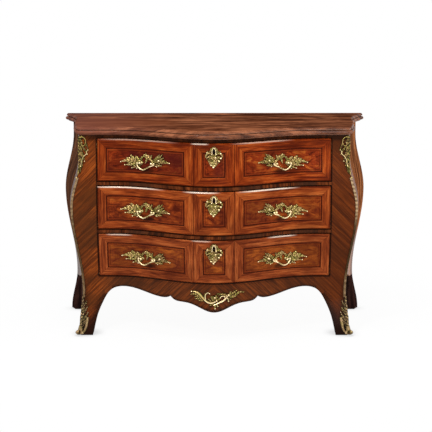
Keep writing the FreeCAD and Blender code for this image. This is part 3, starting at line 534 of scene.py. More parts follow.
def drawer_veneer(row):
    """Three mitred, banded panels across a drawer, each with a mottled field."""
    low, high = (level * MM for level in DRAWER_LEVELS[row])
    p = Paint("veneer_" + DRAWER_NAMES[row] + "_drawer")
    x, y, z = p.coordinates()
    wide = p.math("ABSOLUTE", x)
    from_division = p.math("ABSOLUTE", p.minus(wide, DIVISION_X))
    across = p.math("MINIMUM", from_division, p.minus(DRAWER_EDGE, wide))
    up = p.math("MINIMUM", p.minus(z, low), p.minus(high, z))
    inset = p.math("MINIMUM", across, up)
    upright = p.math("GREATER_THAN", up, across)
    field = p.math("GREATER_THAN", inset, FIELD_INSET)
    level_broad, level_fine = p.grain(x, z, y, 3.0 + row)
    upright_broad, upright_fine = p.grain(z, x, y, 7.0 + row)
    figure = p.node("ShaderNodeMix", upright, None, level_broad, upright_broad).outputs[0]
    pores = p.node("ShaderNodeMix", upright, None, level_fine, upright_fine).outputs[0]
    band = p.ramp(figure, *BAND_TONES[row])
    if row == 0:
        band = p.mix(p.step(x, 0.05, -0.1, 0.25), band, tone(74, 24, 7))
    mottle = p.noise(p.stretched((x, 16.0), (y, 6.0), (z, 34.0)), 8.0, 0.68, 1.6)
    mottle = p.plus(mottle, p.step(x, 0.08, 0.12, (0.03, 0.06, 0.05)[row]))
    patch = p.noise(p.vector(p.times(x, 5.0), float(row * 5), p.times(z, 6.0)), 2.0, 0.5, 0.8)
    red, brown = ((132, 46), (138, 58), (136, 66))[row]
    deep = (tone(58, 12, 5), tone(72, 22, 8), tone(86, 34, 15))[row]
    inner = p.ramp(mottle, (0.36, deep), (0.45, tone(100 + 6 * row, 33 + 7 * row, 9 + 6 * row)),
                   (0.54, tone(red, brown, 15 + 4 * row)), (0.66, tone(166, 84, 30)))
    inner = p.mix(p.step(patch, 0.46, 0.66, (0.75, 0.5, 0.3)[row]), inner, tone(54, 10, 12))
    if row == 0:
        darker_left = p.times(p.step(x, -0.27, -0.13), p.math("LESS_THAN", x, -DIVISION_X))
        inner = p.mix(p.times(darker_left, 0.55), inner, tone(66, 16, 16))
    rim = p.math("LESS_THAN", inset, RIM_INSET)
    inner = p.mix(p.times(rim, 0.6), inner, tone(116, 44, 15))
    colour = p.mix(field, band, inner)
    colour = p.mix(p.step(pores, 0.52, 0.68, 0.55), colour, tone(60, 18, 6))
    mitre = p.times(p.near(across, up, 0.0009), p.minus(1.0, field))
    joint = p.most(p.times(mitre, 0.5), p.times(p.near(wide, DIVISION_X, 0.0014), 0.75))
    joint = p.most(joint, p.times(p.near(inset, STRING_INSET, 0.0024), 0.94))
    joint = p.most(joint, p.times(p.near(inset, LINE_INSET, 0.0011), 0.6))
    colour = p.mix(joint, colour, STRING_DARK)
    # Painted shade along the drawer's lower and end edges, where the gaps are
    gap_edge_shade = p.lines((z, low, 0.004), (wide, DRAWER_EDGE, 0.0036))
    colour = p.mix(p.times(gap_edge_shade, 0.75), colour, tone(34, 9, 3))
    cloud = p.noise(p.vector(p.times(x, 9.0), float(row), p.times(z, 9.0)), 2.0, 0.5, 0.4)
    colour = p.mix(p.step(cloud, 0.42, 0.7, 0.45), colour, tone(62, 18, 6))
    facing = p.facing()
    # Painted shade inside the keyhole
    keyhole = p.near(z, high - (KEYHOLE_DROP + 5.0) * MM, 0.012)
    keyhole = p.times(p.math("LESS_THAN", wide, 0.0058), keyhole)
    colour = p.mix(p.times(keyhole, 0.95), colour, PAINTED_SHADE_TONE)
    # Painted shade beside the mounts and round the drawer's gaps, and a painted shadow under each bail
    mount_shade = p.step(p.recess(0.012), 0.9, 0.35, 0.85)
    under_bail = (handle_level(row) - 29.0) * MM
    bail_shadow_x = p.times(p.minus(wide, HANDLE_X * MM), 1 / 0.036)
    bail_shadow_z = p.times(p.minus(z, under_bail), 1 / 0.012)
    bail_shadow = p.plus(p.times(bail_shadow_x, bail_shadow_x), p.times(bail_shadow_z, bail_shadow_z))
    mount_shade = p.most(mount_shade, p.step(bail_shadow, 1.0, 0.1, 0.72))
    colour = p.mix(mount_shade, colour, PAINTED_SHADE_TONE)
    # Painted highlight along the upper arris in the listed lengths, which also take the coat
    arris = p.times(p.step(z, high - 0.0062, high - 0.0035), p.step(facing[1], -0.1, -0.4))
    polish = 0.0
    for middle, half, share in ARRIS_HIGHLIGHTS[row]:
        away = p.math("ABSOLUTE", p.minus(x, middle))
        polish = p.most(polish, p.step(away, 1.35 * half, 0.5 * half, share))
    shine = p.times(arris, polish)
    colour = p.mix(p.times(shine, 0.85), colour, tone(244, 226, 206))
    lining = p.ramp(level_broad, *stops((0.3, 0.7), (118, 82, 46), (176, 134, 86)))
    colour = p.mix(p.step(facing[1], 0.2, 0.5), colour, lining)
    rough = p.plus(p.times(pores, 0.12), 0.22)
    p.bump(p.minus(pores, joint), 0.12, 0.0006)
    return p.surface(colour, rough, 0.03, shine)


def striped_wood(name, tones, direction, seed, pitch=1.0, rough=0.3, specular=0.04, pore=0.45, patchy=None):
    """Veneer or board whose grain follows one direction; gives its painter and colour for further marks."""
    p = Paint(name)
    x, y, z = p.coordinates()
    if direction == "slant":
        wide = p.math("ABSOLUTE", x)
        along = p.times(p.minus(z, wide), DIAGONAL)
        across = p.times(p.plus(z, wide), DIAGONAL)
        broad, fine = p.grain(along, across, y, seed, pitch)
    elif direction == "x":
        broad, fine = p.grain(x, p.plus(y, z), z, seed, pitch)
    elif direction == "y":
        broad, fine = p.grain(y, p.plus(x, z), z, seed, pitch)
    else:
        broad, fine = p.grain(z, p.plus(x, y), y, seed, pitch)
    colour = p.ramp(broad, *tones)
    if patchy:
        cloud = p.noise(p.stretched((x, patchy[0]), (y, patchy[1]), (z, patchy[2])), 2.0, 0.5, 0.5)
        colour = p.mix(p.step(cloud, 0.45, 0.65, 0.75), colour, patchy[3])
    colour = p.mix(p.step(fine, 0.54, 0.74, pore), colour, tones[0][1])
    p.bump(fine, 0.12, 0.0006)
    p.surface(colour, p.plus(p.times(fine, 0.12), rough - 0.06), specular)
    return p, colour


def plain_wood(*values):
    p, colour = striped_wood(*values)
    return p.recolour(p.mix(p.times(p.edges(0.003), 0.35), colour, tone(196, 158, 110)))


def shaded_left(p, x, colour):
    """Darker on the left-hand side of the chest."""
    return p.mix(p.step(x, -0.4, -0.55, 0.7), colour, SHADED_SIDE)


def low_polish(p, z):
    """Polish low on the sides, which throws back the floor."""
    return p.step(z, 0.38, 0.27)


def side_grain(p, x, y, z):
    """The side panels' upright grain, for the flanks of the stiles beside them."""
    figure, pores = p.grain(z, p.plus(x, y), y, 8.0, 0.9)
    veneer = p.mix(p.step(pores, 0.54, 0.74, 0.45), p.ramp(figure, *SIDE_TONES), SIDE_TONES[0][1])
    return shaded_left(p, x, veneer)


def frame_veneer():
    """Legs and apron: slanting grain, dark toward the middle and at the feet, with painted shade on edges,
    inward faces, under the top and round the drawers.
    """
    tones = stops(BAND_STOPS, (56, 22, 7), (94, 42, 13), (122, 56, 18), (158, 78, 26))
    p, colour = striped_wood("frame_veneer", tones, "slant", 2.0, 1.8, 0.3, 0.04, 0.55,
                             (3.0, 3.0, 7.0, tone(70, 36, 14)))
    x, y, z = p.coordinates()
    wide = p.math("ABSOLUTE", x)
    middle = p.times(p.step(wide, 0.49, 0.40), p.step(z, 0.30, 0.20))
    colour = p.mix(p.times(middle, 0.55), colour, tone(60, 34, 20))
    right = p.plus(p.step(z, 0.7, 0.3, 0.15), 0.55)
    colour = p.mix(p.times(p.step(x, 0.2, 0.5), right), colour, tone(66, 29, 11))
    colour = p.mix(p.step(z, 0.12, 0.04, 0.8), colour, tone(36, 13, 9))
    # Painted shade: lines at the drawer openings and along the apron's upper edge, faces turned inward,
    # edges, corners and a band under the top
    inside = p.times(p.near(wide, DRAWER_EDGE, 0.0052), p.math("GREATER_THAN", z, APRON_EDGE))
    under = p.times(p.near(z, APRON_EDGE, 0.0032), p.math("LESS_THAN", wide, 0.47))
    outward = p.times(p.facing()[0], p.math("SIGN", x))
    flank = p.times(p.step(outward, 0.6, 0.85), p.step(z, 0.10, 0.24))
    colour = p.mix(p.times(flank, 0.8), colour, side_grain(p, x, y, z))
    dark = p.most(p.most(inside, under), p.step(outward, -0.4, -0.7))
    seam = p.times(p.near(wide, 0.43, 0.016), p.math("GREATER_THAN", z, 0.165))
    leg = p.times(p.step(wide, 0.39, 0.43), p.step(z, 0.22, 0.14))
    depth = p.plus(p.times(leg, 0.026), 0.018)
    edge = p.times(p.step(p.recess(depth, True), 0.84, 0.73, 0.95), p.step(z, 0.236, 0.226))
    dark = p.most(dark, p.times(edge, p.minus(1.0, seam)))
    dark = p.most(dark, p.step(p.recess(0.012), 0.9, 0.35))
    dark = p.most(dark, p.step(z, 0.788, 0.804, 0.85))
    colour = p.mix(p.times(dark, 0.88), colour, PAINTED_SHADE_TONE)
    return p.recolour(colour)


def rail_veneer():
    """Short crossing pieces in dark tones, with painted shade along their edges and under the top."""
    tones = stops(WOOD_STOPS, (44, 18, 8), (76, 35, 15), (94, 45, 20), (118, 60, 28))
    p, colour = striped_wood("rail_veneer", tones, "z", 4.0, 0.7, 0.3, 0.02, 0.4,
                             (9.0, 1.0, 1.0, tone(60, 36, 24)))
    z = p.coordinates()[2]
    # Painted shade along the rails' edges and under the top
    rail_gap_shade = p.lines(*((z, edge, 0.0024) for edge in RAIL_EDGES))
    rail_gap_shade = p.most(p.times(rail_gap_shade, 0.92), p.step(z, 0.79, 0.806, 0.75))
    return p.recolour(p.mix(rail_gap_shade, colour, PAINTED_SHADE_TONE))


def top_veneer():
    """Top board: long grain, a polished moulding, paler edges painted as highlights stronger to the right,
    and painted shade in its hollows.
    """
    tones = stops(TOP_STOPS, (58, 28, 17), (92, 51, 33), (116, 68, 44), (150, 92, 62))
    p, colour = striped_wood("top_veneer", tones, "x", 6.0, 0.3, 0.45, 0.0, 0.3,
                             (2.0, 2.0, 2.0, tone(100, 50, 26)))
    x = p.coordinates()[0]
    colour = p.mix(p.step(x, -0.1, -0.6, 0.3), colour, tone(134, 84, 76))
    lit = p.plus(p.step(x, -0.3, 0.3, 0.75), 0.25)
    moulded = p.times(p.step(p.facing()[2], 0.92, 0.6), lit)
    # Painted highlight along the edges, stronger to the right
    colour = p.mix(p.times(p.times(p.edges(0.004), lit), 0.4), colour, tone(200, 150, 124))
    # Painted shade in the moulding's hollows
    colour = p.mix(p.step(p.recess(0.02), 0.75, 0.2, 0.5), colour, PAINTED_SHADE_TONE)
    p.polish(p.times(moulded, 0.35))
    return p.recolour(colour)


def side_veneer():
    """Side panels: upright grain, painted shade under the top and polished low down."""
    p, colour = striped_wood("side_veneer", SIDE_TONES, "z", 8.0, 0.9, 0.36, 0.0, 0.45,
                             (2.0, 5.0, 2.0, tone(100, 62, 40)))
    x, _, z = p.coordinates()
    # Painted shade under the top
    colour = p.mix(p.step(z, 0.785, 0.81, 0.75), shaded_left(p, x, colour), PAINTED_SHADE_TONE)
    p.polish(low_polish(p, z))
    colour = p.mix(p.times(p.edges(0.004), 0.3), colour, tone(190, 130, 92))
    return p.recolour(colour)


def dark_wood():
    """Rear legs: veneered like the sides beside the panels, nearly black below them."""
    tones = stops(WOOD_STOPS, (24, 14, 14), (38, 22, 20), (48, 29, 26), (66, 42, 36))
    p, colour = striped_wood("dark_wood", tones, "z", 9.0, 0.8, 0.45, 0.0)
    x, y, z = p.coordinates()
    above = p.math("GREATER_THAN", z, SIDE_SPRING * MM)
    colour = p.mix(above, colour, side_grain(p, x, y, z))
    p.polish(p.times(above, low_polish(p, z)))
    colour = p.mix(p.times(p.edges(0.004), 0.2), colour, tone(84, 52, 34))
    return p.recolour(colour)


def gilt_brass(name, lift, first_tones, second_tones):
    """Chased gilding: bright on the high points, dark in the recesses, with a mottled wear."""
    p = Paint(name)
    relief = p.node("ShaderNodeAttribute")
    relief.attribute_name = "relief"
    x, y, z = p.coordinates()
    wear = p.noise(p.stretched((x, 160.0), (y, 160.0), (z, 160.0)), 4.0, 0.6, 0.4)
    hue = p.noise(p.stretched((x, 70.0), (y, 70.0), (z, 70.0)), 2.0, 0.5, 0.4)
    level = p.plus(relief.outputs["Fac"], p.times(p.minus(wear, 0.5), 0.6))
    level = p.plus(level, lift)
    level = p.times(level, p.plus(p.step(p.recess(0.010), 0.2, 0.85, 0.72), 0.28))
    colour = p.mix(p.step(hue, 0.4, 0.6), p.ramp(level, *first_tones), p.ramp(level, *second_tones))
    p.bump(wear, 0.3, 0.0012)
    return p.surface(colour, p.minus(0.46, p.times(level, 0.16)), 0.5, 0.0, 0.85)


def plain_brass():
    """Brass of the corner strips, beaded toward the top and tarnished lower down."""
    p = Paint("gilt_strip")
    x, y, z = p.coordinates()
    wear = p.noise(p.stretched((x, 90.0), (y, 90.0), (z, 60.0)), 5.0, 0.6, 0.4)
    colour = p.ramp(wear, (0.3, tone(78, 58, 38)), (0.55, tone(122, 98, 70)), (0.75, tone(166, 140, 108)))
    beads = p.plus(p.times(p.math("SINE", p.times(z, 2 * math.pi / BEAD_PITCH)), 0.5), 0.5)
    beads = p.times(beads, p.step(z, 0.46, 0.52))
    beads = p.times(beads, p.plus(p.step(x, -0.1, 0.1, 0.3), 0.15))
    colour = p.mix(beads, colour, tone(222, 192, 150))
    tarnish = p.times(p.step(z, 0.50, 0.42), p.step(z, 0.22, 0.27))
    tarnish = p.times(tarnish, p.plus(p.times(p.math("SIGN", x), 0.15), 0.65))
    colour = p.mix(tarnish, colour, tone(50, 36, 18))
    p.bump(wear, 0.2, 0.001)
    return p.surface(colour, p.plus(p.times(wear, 0.2), 0.45), 0.3, 0.0, 1.0)


def lock_steel():
    p = Paint("lock_steel")
    x, y, z = p.coordinates()
    wear = p.noise(p.stretched((x, 300.0), (y, 300.0), (z, 40.0)), 4.0, 0.6, 0.2)
    colour = p.ramp(wear, (0.3, tone(34, 32, 30)), (0.7, tone(74, 70, 66)))
    p.bump(wear, 0.15, 0.0005)
    return p.surface(colour, p.plus(p.times(wear, 0.25), 0.3), 0.5, 0.0, 0.95)


BRASS = gilt_brass("gilt_brass", 0.0, OLIVE, CREAM)
SOFT_BRASS = gilt_brass("gilt_brass_soft", -0.08, OLIVE, CREAM)
DULL_BRASS = gilt_brass("gilt_brass_dull", -0.16, UMBER, TAN)
CORNER_BRASS = gilt_brass("gilt_brass_corner", -0.2, OLIVE, CREAM)
STRIP = plain_brass()
STEEL = lock_steel()
FRAME = frame_veneer()
RAIL = rail_veneer()
TOP = top_veneer()
SIDE = side_veneer()
DARK = dark_wood()
PINE = plain_wood("carcase_wood", stops(BOARD_STOPS, (120, 86, 50), (164, 124, 78), (190, 152, 102)),
                  "x", 10.0, 0.5, 0.6, 0.1, 0.3)
RUNNER = plain_wood("runner_wood", stops(BOARD_STOPS, (116, 82, 48), (156, 118, 74), (182, 144, 98)),
                    "y", 11.0, 0.5, 0.6, 0.1, 0.3)
LINING = plain_wood("drawer_lining", stops(BOARD_STOPS, (118, 82, 46), (150, 110, 66), (176, 134, 86)),
                    "y", 12.0, 0.7, 0.5, 0.1, 0.4)

NODE_LOOKS = {
    "top": TOP, "back_boards": PINE, "drawer_runners": RUNNER, "drawer_stops": RUNNER, "apron": FRAME,
    "front_left_leg": FRAME, "front_right_leg": FRAME, "rear_left_leg": DARK, "rear_right_leg": DARK,
    "left_side_panel": SIDE, "right_side_panel": SIDE,
    "left_corner_fillet": STRIP, "right_corner_fillet": STRIP,
    "top_rail": RAIL, "upper_rail": RAIL, "lower_rail": RAIL,
    "upper_dust_board": PINE, "lower_dust_board": PINE, "bottom_board": PINE,
}
for row, name in enumerate(DRAWER_NAMES):
    drawer = name + "_drawer_"
    NODE_LOOKS[drawer + "front"] = drawer_veneer(row)
    for piece in ("sides", "back", "bottom"):
        NODE_LOOKS[drawer + piece] = LINING
    for piece in ("lock_case", "lock_bolt", "handle_bolts"):
        NODE_LOOKS[drawer + piece] = STEEL
for name, look in NODE_LOOKS.items():
    NODES[name].data.materials.clear()
    NODES[name].data.materials.append(look)


def handle_plate(row, side, word):
    """Asymmetrical spray of leaves with two posts for the bail."""
    ground = on_front(side * HANDLE_X, handle_level(row), DRAWER_PROUD, -side)
    tilt = HANDLE_TILTS[word][row]
    sink = HANDLE_SINKS[row]
    plate = Relief(lambda u, w, h: ground(u, w + tilt * u - sink, h))
    plate.leaves(
        ([(-14, 2), (-48, 9), (-80, 14), (-106, 10)], 14, 5.0, 7),
        ([(-34, 4), (-52, 20), (-65, 36)], 10, 5.5, 4),
        ([(-22, 4), (-36, 20), (-44, 31)], 9, 5.5, 4),
        ([(-46, 8), (-66, 20), (-84, 24)], 8, 5.0, 4, 1.0),
        ([(-28, 0), (-58, -2), (-88, -3)], 10, 5.0, 6),
        ([(-26, -4), (-44, -11), (-59, -16)], 8, 5.0, 4),
        ([(-24, -5), (-33, -12), (-39, -18)], 6.5, 4.5, 3),
        ([(-66, 33), (-54, 20), (-42, 6)], 6, 5.0, 4, 3.0),
        ([(-46, 26), (-36, 19), (-24, 6), (-18, -2)], 6.5, 5.0, 4, 3.0),
        ([(-84, 12), (-66, 4), (-38, -14)], 5.5, 4.5, 5, 3.0),
        ([(-24, 8), (-20, 22), (-8, 30)], 8, 5.5, 4, 1.0),
        ([(22, 8), (7, 26), (-13, 36)], 9, 5.5, 5, 1.0),
        ([(-13, 32), (0, 20), (13, 16), (24, 6), (32, -7), (41, -14)], 6, 5.0, 6, 3.0),
        ([(2, 18), (-4, 28), (-2, 41)], 7, 5.0, 3, 1.0),
        ([(12, 10), (16, 21), (22, 33)], 8, 5.5, 4),
        ([(24, 6), (40, 19), (55, 34)], 9, 5.5, 5),
        ([(4, 24), (-1, 12), (-4, -2)], 8, 5.5, 4, 1.0),
        ([(16, 2), (48, 7), (68, 4), (92, -1)], 14, 5.0, 7),
        ([(24, -4), (46, -9), (63, -10)], 8, 5.0, 4),
        ([(40, 6), (57, 15), (72, 21)], 7, 5.0, 4, 1.0),
        ([(36, 10), (53, 22), (66, 36)], 6.5, 5.0, 4, 1.5),
        ([(64, 14), (48, 6), (30, 0)], 6, 5.0, 4, 3.0),
        ([(80, 6), (62, 1), (46, -3)], 5, 4.5, 3, 3.0))
    plate.beads(3.4, (-105, 10, 2.8), (-88, -3, 2.8), (-59, -16, 2.6), (-39, -18, 2.6), (49, 9, 4.4),
                (91, -1, 2.6), (41, -14, 2.6))
    plate.place = ground
    for pivot in (-1, 1):
        u = pivot * PIVOT_HALF_SPAN * PIVOT_SLANT_COSINE
        plate.bead(u, 0, 2.0, 6.5, 0.4)
        post = [(u, 0, height) for height in (0.6, 5.0, 10.0, 12.5)]
        plate.scroll(post, 4.2, 3.6, 3.0, 1.0, 12, False, 0.7)
        plate.bead(u, 0, 12.5, 4.6)
    drawer = DRAWER_NAMES[row] + "_drawer"
    node = drawer + "_" + word + "_handle_plate"
    plate.finish(node + "_spray", drawer, BRASS, node)


def bail(row, side, word):
    """Drop handle that swells and swings to one side, with knuckles and pins in the posts."""
    z0 = handle_level(row)
    x0 = side * HANDLE_X
    slope = (front_y(x0 + 1, z0) - front_y(x0 - 1, z0)) / 2
    along = Vector((1.0, slope, 0.0)).normalized()
    outward = Vector((along.y, -along.x, 0.0))
    middle = Vector((x0, front_y(x0, z0) - DRAWER_PROUD, z0)) + outward * PIVOT_REACH

    def place(u, w, h):
        return (middle + along * (-side * u) + outward * h + Vector((0, 0, w))) * MM

    drop = Relief(place)
    drop.scroll([(-37, 0), (-36.5, -9), (-31, -17), (-22, -23), (-12, -25), (-2, -22), (8, -16.5), (18, -11),
                 (28, -7.5), (35, -4.5), (37, 0)], 2.7, 2.7, 0.0, 1.0, 12, False)
    drop.leaf([(20, -10), (0, -20), (-16, -25)], 3.8, 2.0, 4, 1.8, 0.0)
    for end in (-1, 1):
        drop.bead(end * BAIL_HALF_SPAN, 0, 0, 3.6, 1.0)
        pin = [(end * reach, 0) for reach in (BAIL_HALF_SPAN, 30.0, 21.0)]
        drop.scroll(pin, PIN_RADIUS, PIN_RADIUS, 0.0, 1.0, 12, False)
    drop.bead(-13, -25, 0, 3.4, 1.0)
    handle = DRAWER_NAMES[row] + "_drawer_" + word
    drop.finish(handle + "_bail_drop", handle + "_handle", BRASS, handle + "_bail")


def escutcheon(row):
    """Keyhole plate: a crowned frame round the hole over a pendent shell, with scrolled shoulders."""
    plate = Relief(on_front(0.0, DRAWER_LEVELS[row][1] - KEYHOLE_DROP, DRAWER_PROUD, 1))
    plate.leaves(
        ([(0, -17), (0, -34), (-2, -68)], 29, 4.0, 6, 0.4, 2.0, 0.34, 0.2, 14),
        ([(3, -17), (2, -34), (-2, -58)], 12, 4.5, 5, 2.6, 1.0, 0.42, 0.5, 10),
        ([(-17, -9), (-10, 3), (-1, 16)], 7, 5.0, 3),
        ([(18, -10), (10, 3), (1, 16)], 7, 5.0, 3),
        ([(-6, -12), (-22, -12), (-31, -22), (-24, -37)], 6.5, 5.5, 5, 2.0),
        ([(7, -12), (21, -12), (31, -21), (26, -36)], 6.5, 5.5, 5, 2.0),
        ([(-4, -22), (-17, -24), (-29, -30)], 8, 5.0, 4, 1.0),
        ([(5, -24), (17, -27), (28, -30)], 8, 5.0, 4, 1.0),
        ([(-6, -32), (-14, -46), (-11, -61)], 8, 5.0, 4, 1.5),
        ([(6, -36), (10, -49), (4, -63)], 8, 5.0, 4, 1.5),
        ([(-14, -28), (-20, -38), (-18, -48)], 6, 5.0, 3, 1.0),
        ([(14, -31), (20, -41), (17, -50)], 6, 5.0, 3, 1.0),
        ([(-10, -16), (-21, -9), (-26, 0)], 6, 5.0, 3, 0.8),
        ([(11, -17), (21, -10), (26, -2)], 6, 5.0, 3, 0.8),
        ([(-14, -40), (0, -30), (14, -22)], 5, 5.0, 4, 4.0))
    plate.scroll([(-6.5, -15), (-7.5, -5), (-4.6, 5), (0, 10), (4.6, 5), (7.5, -5), (6.5, -15)],
                 1.6, 1.6, 4.0, 1.0, 10, False)
    plate.beads(5.0, (-26, -9, 3.2), (26, -12, 3.6), (26, -30, 4.2), (19, -41, 3.8), (-11, -57, 3.6),
                (-2, -65, 4.2), (6, -28, 3.4), (-8, -15, 2.6), (8, -15, 2.6), (3, -59, 3.2))
    drawer = DRAWER_NAMES[row] + "_drawer"
    plate.finish(drawer + "_escutcheon_shell", drawer, BRASS, drawer + "_escutcheon")


def apron_spray():
    """Asymmetrical spray: a curled stem, a scrolled bowl with a shell, a bud and thin sprigs."""
    spray = Relief(on_front(0.0, APRON_MOUNT_HEIGHT, 0.0, 1))
    spray.leaves(
        ([(0, -16), (-18, -17), (-37, -6), (-57, 17), (-71, 26), (-90, 28)], 9.5, 6.0, 0, 0.6, 2.0, 0.0),
        ([(-52, 12), (-74, 18), (-95, 14)], 9, 5.0, 5),
        ([(-46, 7), (-62, 9), (-78, 6)], 8, 5.0, 4, 0.8),
        ([(-42, 1), (-60, -1), (-77, -2)], 8, 5.0, 4),
        ([(-35, -8), (-50, -9), (-63, -8)], 6.5, 4.5, 3))
    spray.scroll([(-34, -5), (-35, 9), (-32, 19), (-24, 24), (-17, 20)], 2.4, 1.3, 2.8)
    spray.leaf([(-33, 2), (-37, 12), (-34, 24)], 5, 4.0, 3)
    spray.scroll([(-38, -4), (-28, -14), (-15, -18.5), (0, -16), (10, -9)], 3.0, 1.9, 4.0)
    spray.scroll([(-2, -27), (8, -23), (20, -17), (33, -12), (45, -2), (51, 9)], 2.9, 1.9, 3.8)
    spray.leaves(
        ([(0, -15), (-6, 0), (-14, 11)], 11, 5.5, 4, 0.8),
        ([(3, -13), (7, 2), (9, 16)], 10, 5.5, 4, 1.6),
        ([(4, -14), (16, -5), (26, 4)], 9, 5.0, 4, 0.8),
        ([(-6, -16), (-16, -8), (-24, 2)], 7, 4.5, 3),
        ([(10, 19), (34, 18), (46, 10), (62, 14)], 8, 5.0, 5, 1.0),
        ([(54, 10), (63, 20), (68, 30)], 7, 4.5, 3),
        ([(55, 11), (75, 20), (91, 34)], 8, 4.5, 5),
        ([(54, 8), (82, 11), (101, 23), (121, 20)], 8, 4.5, 6),
        ([(54, 6), (71, 4), (88, 8)], 7, 4.5, 4),
        ([(44, -4), (58, -2), (70, -6)], 5, 4.0, 3))
    spray.scroll([(50, 4), (55, -4), (56, -11)], 1.6, 1.4, 2.2)
    spray.leaves(
        ([(2, -18), (8, -26), (18, -32)], 6.5, 4.5, 3),
        ([(2, -18), (3, -30), (4, -43)], 8, 4.5, 4),
        ([(0, -19), (-9, -25), (-20, -28)], 6.5, 4.5, 3))
    for petal in range(6):
        turn = math.pi * (petal / 3 + 0.1)
        tip = (3 + 16 * math.cos(turn), 4 + 11 * math.sin(turn))
        spray.leaf([(3, 4), (0.5 * (3 + tip[0]), 0.5 * (4 + tip[1])), tip], 5.5, 4.5, 3, 3.0)
    spray.scroll([(20, -15), (34, -10), (43, 0), (39, 9), (29, 9), (24, 3)], 2.6, 1.5, 3.4)
    spray.leaf([(17, 15), (36, 18), (60, 12)], 7, 5.5, 4, 3.0)
    spray.beads(5.0, (-88, 28, 3.4), (3, 4, 3.6), (57, 13, 4.6), (56, -11, 3.4), (4, -41, 2.8),
                (14, -31, 2.6))
    spray.finish("apron_mount_spray", "carcass", SOFT_BRASS, "apron_mount")


def corner_leaves(side, word):
    """Leaves down a front corner under the top."""
    mount = Relief(on_corner(side))
    mount.leaf([(-4, 815), (-5, 775), (-3, 715), (0, 647)], 13, 3.5, 8, 0.5, 1.0, 0.4, 0.3, 14)
    mount.scroll([(-2, 808), (-13, 810), (-24, 800), (-25, 784), (-15, 774), (-8, 780), (-11, 788)],
                 1.8, 1.2, 4.0, 1.0, 10, True, 0.7)
    mount.leaves(
        ([(-22, 798), (-27, 780), (-36, 757)], 7, 5.0, 4, 0.6),
        ([(-6, 776), (-18, 764), (-31, 741)], 8, 5.5, 4, 0.6),
        ([(-4, 756), (-13, 740), (-20, 714)], 8, 5.0, 4, 1.0),
        ([(-2, 732), (-9, 714), (-13, 688)], 7, 5.0, 4, 1.0),
        ([(-1, 706), (-6, 689), (-8, 662)], 6, 4.5, 3, 1.0))
    mount.scroll([(-30, 756), (-27, 742), (-16, 732), (-9, 716), (-6, 694)], 1.8, 1.2, 4.4)
    mount.leaves(
        ([(0, 812), (2, 792), (-3, 764)], 6, 5.0, 4, 2.2),
        ([(0, 780), (2, 758), (-1, 730)], 5, 5.0, 4, 2.2),
        ([(0, 744), (1, 720), (0, 690)], 5, 4.5, 4, 2.0),
        ([(2, 808), (10, 790), (14, 764)], 7, 5.0, 4, 0.6),
        ([(2, 778), (8, 758), (11, 728)], 6, 5.0, 4, 0.6),
        ([(2, 746), (6, 724), (8, 694)], 6, 4.5, 4, 0.8),
        ([(1, 710), (4, 690), (5, 662)], 5, 4.0, 3, 0.8))
    mount.beads(3.4, (-34, 758, 3.0), (-20, 714, 2.6), (0, 648, 3.0), (-30, 742, 2.6))
    mount.finish(word + "_corner_mount_leaves", "carcass", CORNER_BRASS, word + "_corner_mount")


def foot_leaves(side, word):
    """Leaves and long scrolls round a front foot."""
    mount = Relief(on_corner(side))
    mount.leaves(
        ([(0, 8), (0, 44), (0, 96), (0, 158)], 15, 4.0, 9, 0.5, 1.0, 0.35, 0.3, 18),
        ([(0, 112), (0, 132), (0, 160)], 7, 5.0, 4, 2.0),
        ([(0, 78), (0, 100), (0, 126)], 7, 6.0, 4, 4.0),
        ([(0, 46), (0, 68), (0, 94)], 8, 6.5, 4, 4.5),
        ([(0, 12), (0, 36), (0, 64)], 11, 7.0, 5, 4.0))
    for face, reach in ((-1, 1.0), (1, 0.85)):
        out = face * reach
        mount.leaves(
            ([(face, 112), (out * 8, 122), (out * 15, 140)], 7, 5.0, 4, 1.0),
            ([(face, 86), (out * 10, 96), (out * 19, 116)], 9, 5.0, 4, 1.0),
            ([(face, 60), (out * 12, 70), (out * 23, 92)], 10, 5.5, 4, 1.0),
            ([(face * 2, 42), (out * 13, 52), (out * 24, 74)], 9, 5.5, 4, 1.0))
        mount.scroll([(out * 23, 72), (out * 21, 52), (out * 18, 34), (out * 12, 19), (face * 2, 10)],
                     6.2, 5.2, 3.0, 0.6, 10, True, 0.62)
        mount.leaf([(out * 12, 52), (face * 5, 64), (face * 2, 84)], 6, 5.0, 3, 3.4)
        mount.leaf([(out * 9, 84), (face * 4, 96), (face * 2, 112)], 5, 4.5, 3, 3.2)
        mount.bead(out * 22, 90, 2.8, 2.2)
    mount.finish(word + "_foot_mount_leaves", "carcass", DULL_BRASS, word + "_foot_mount")


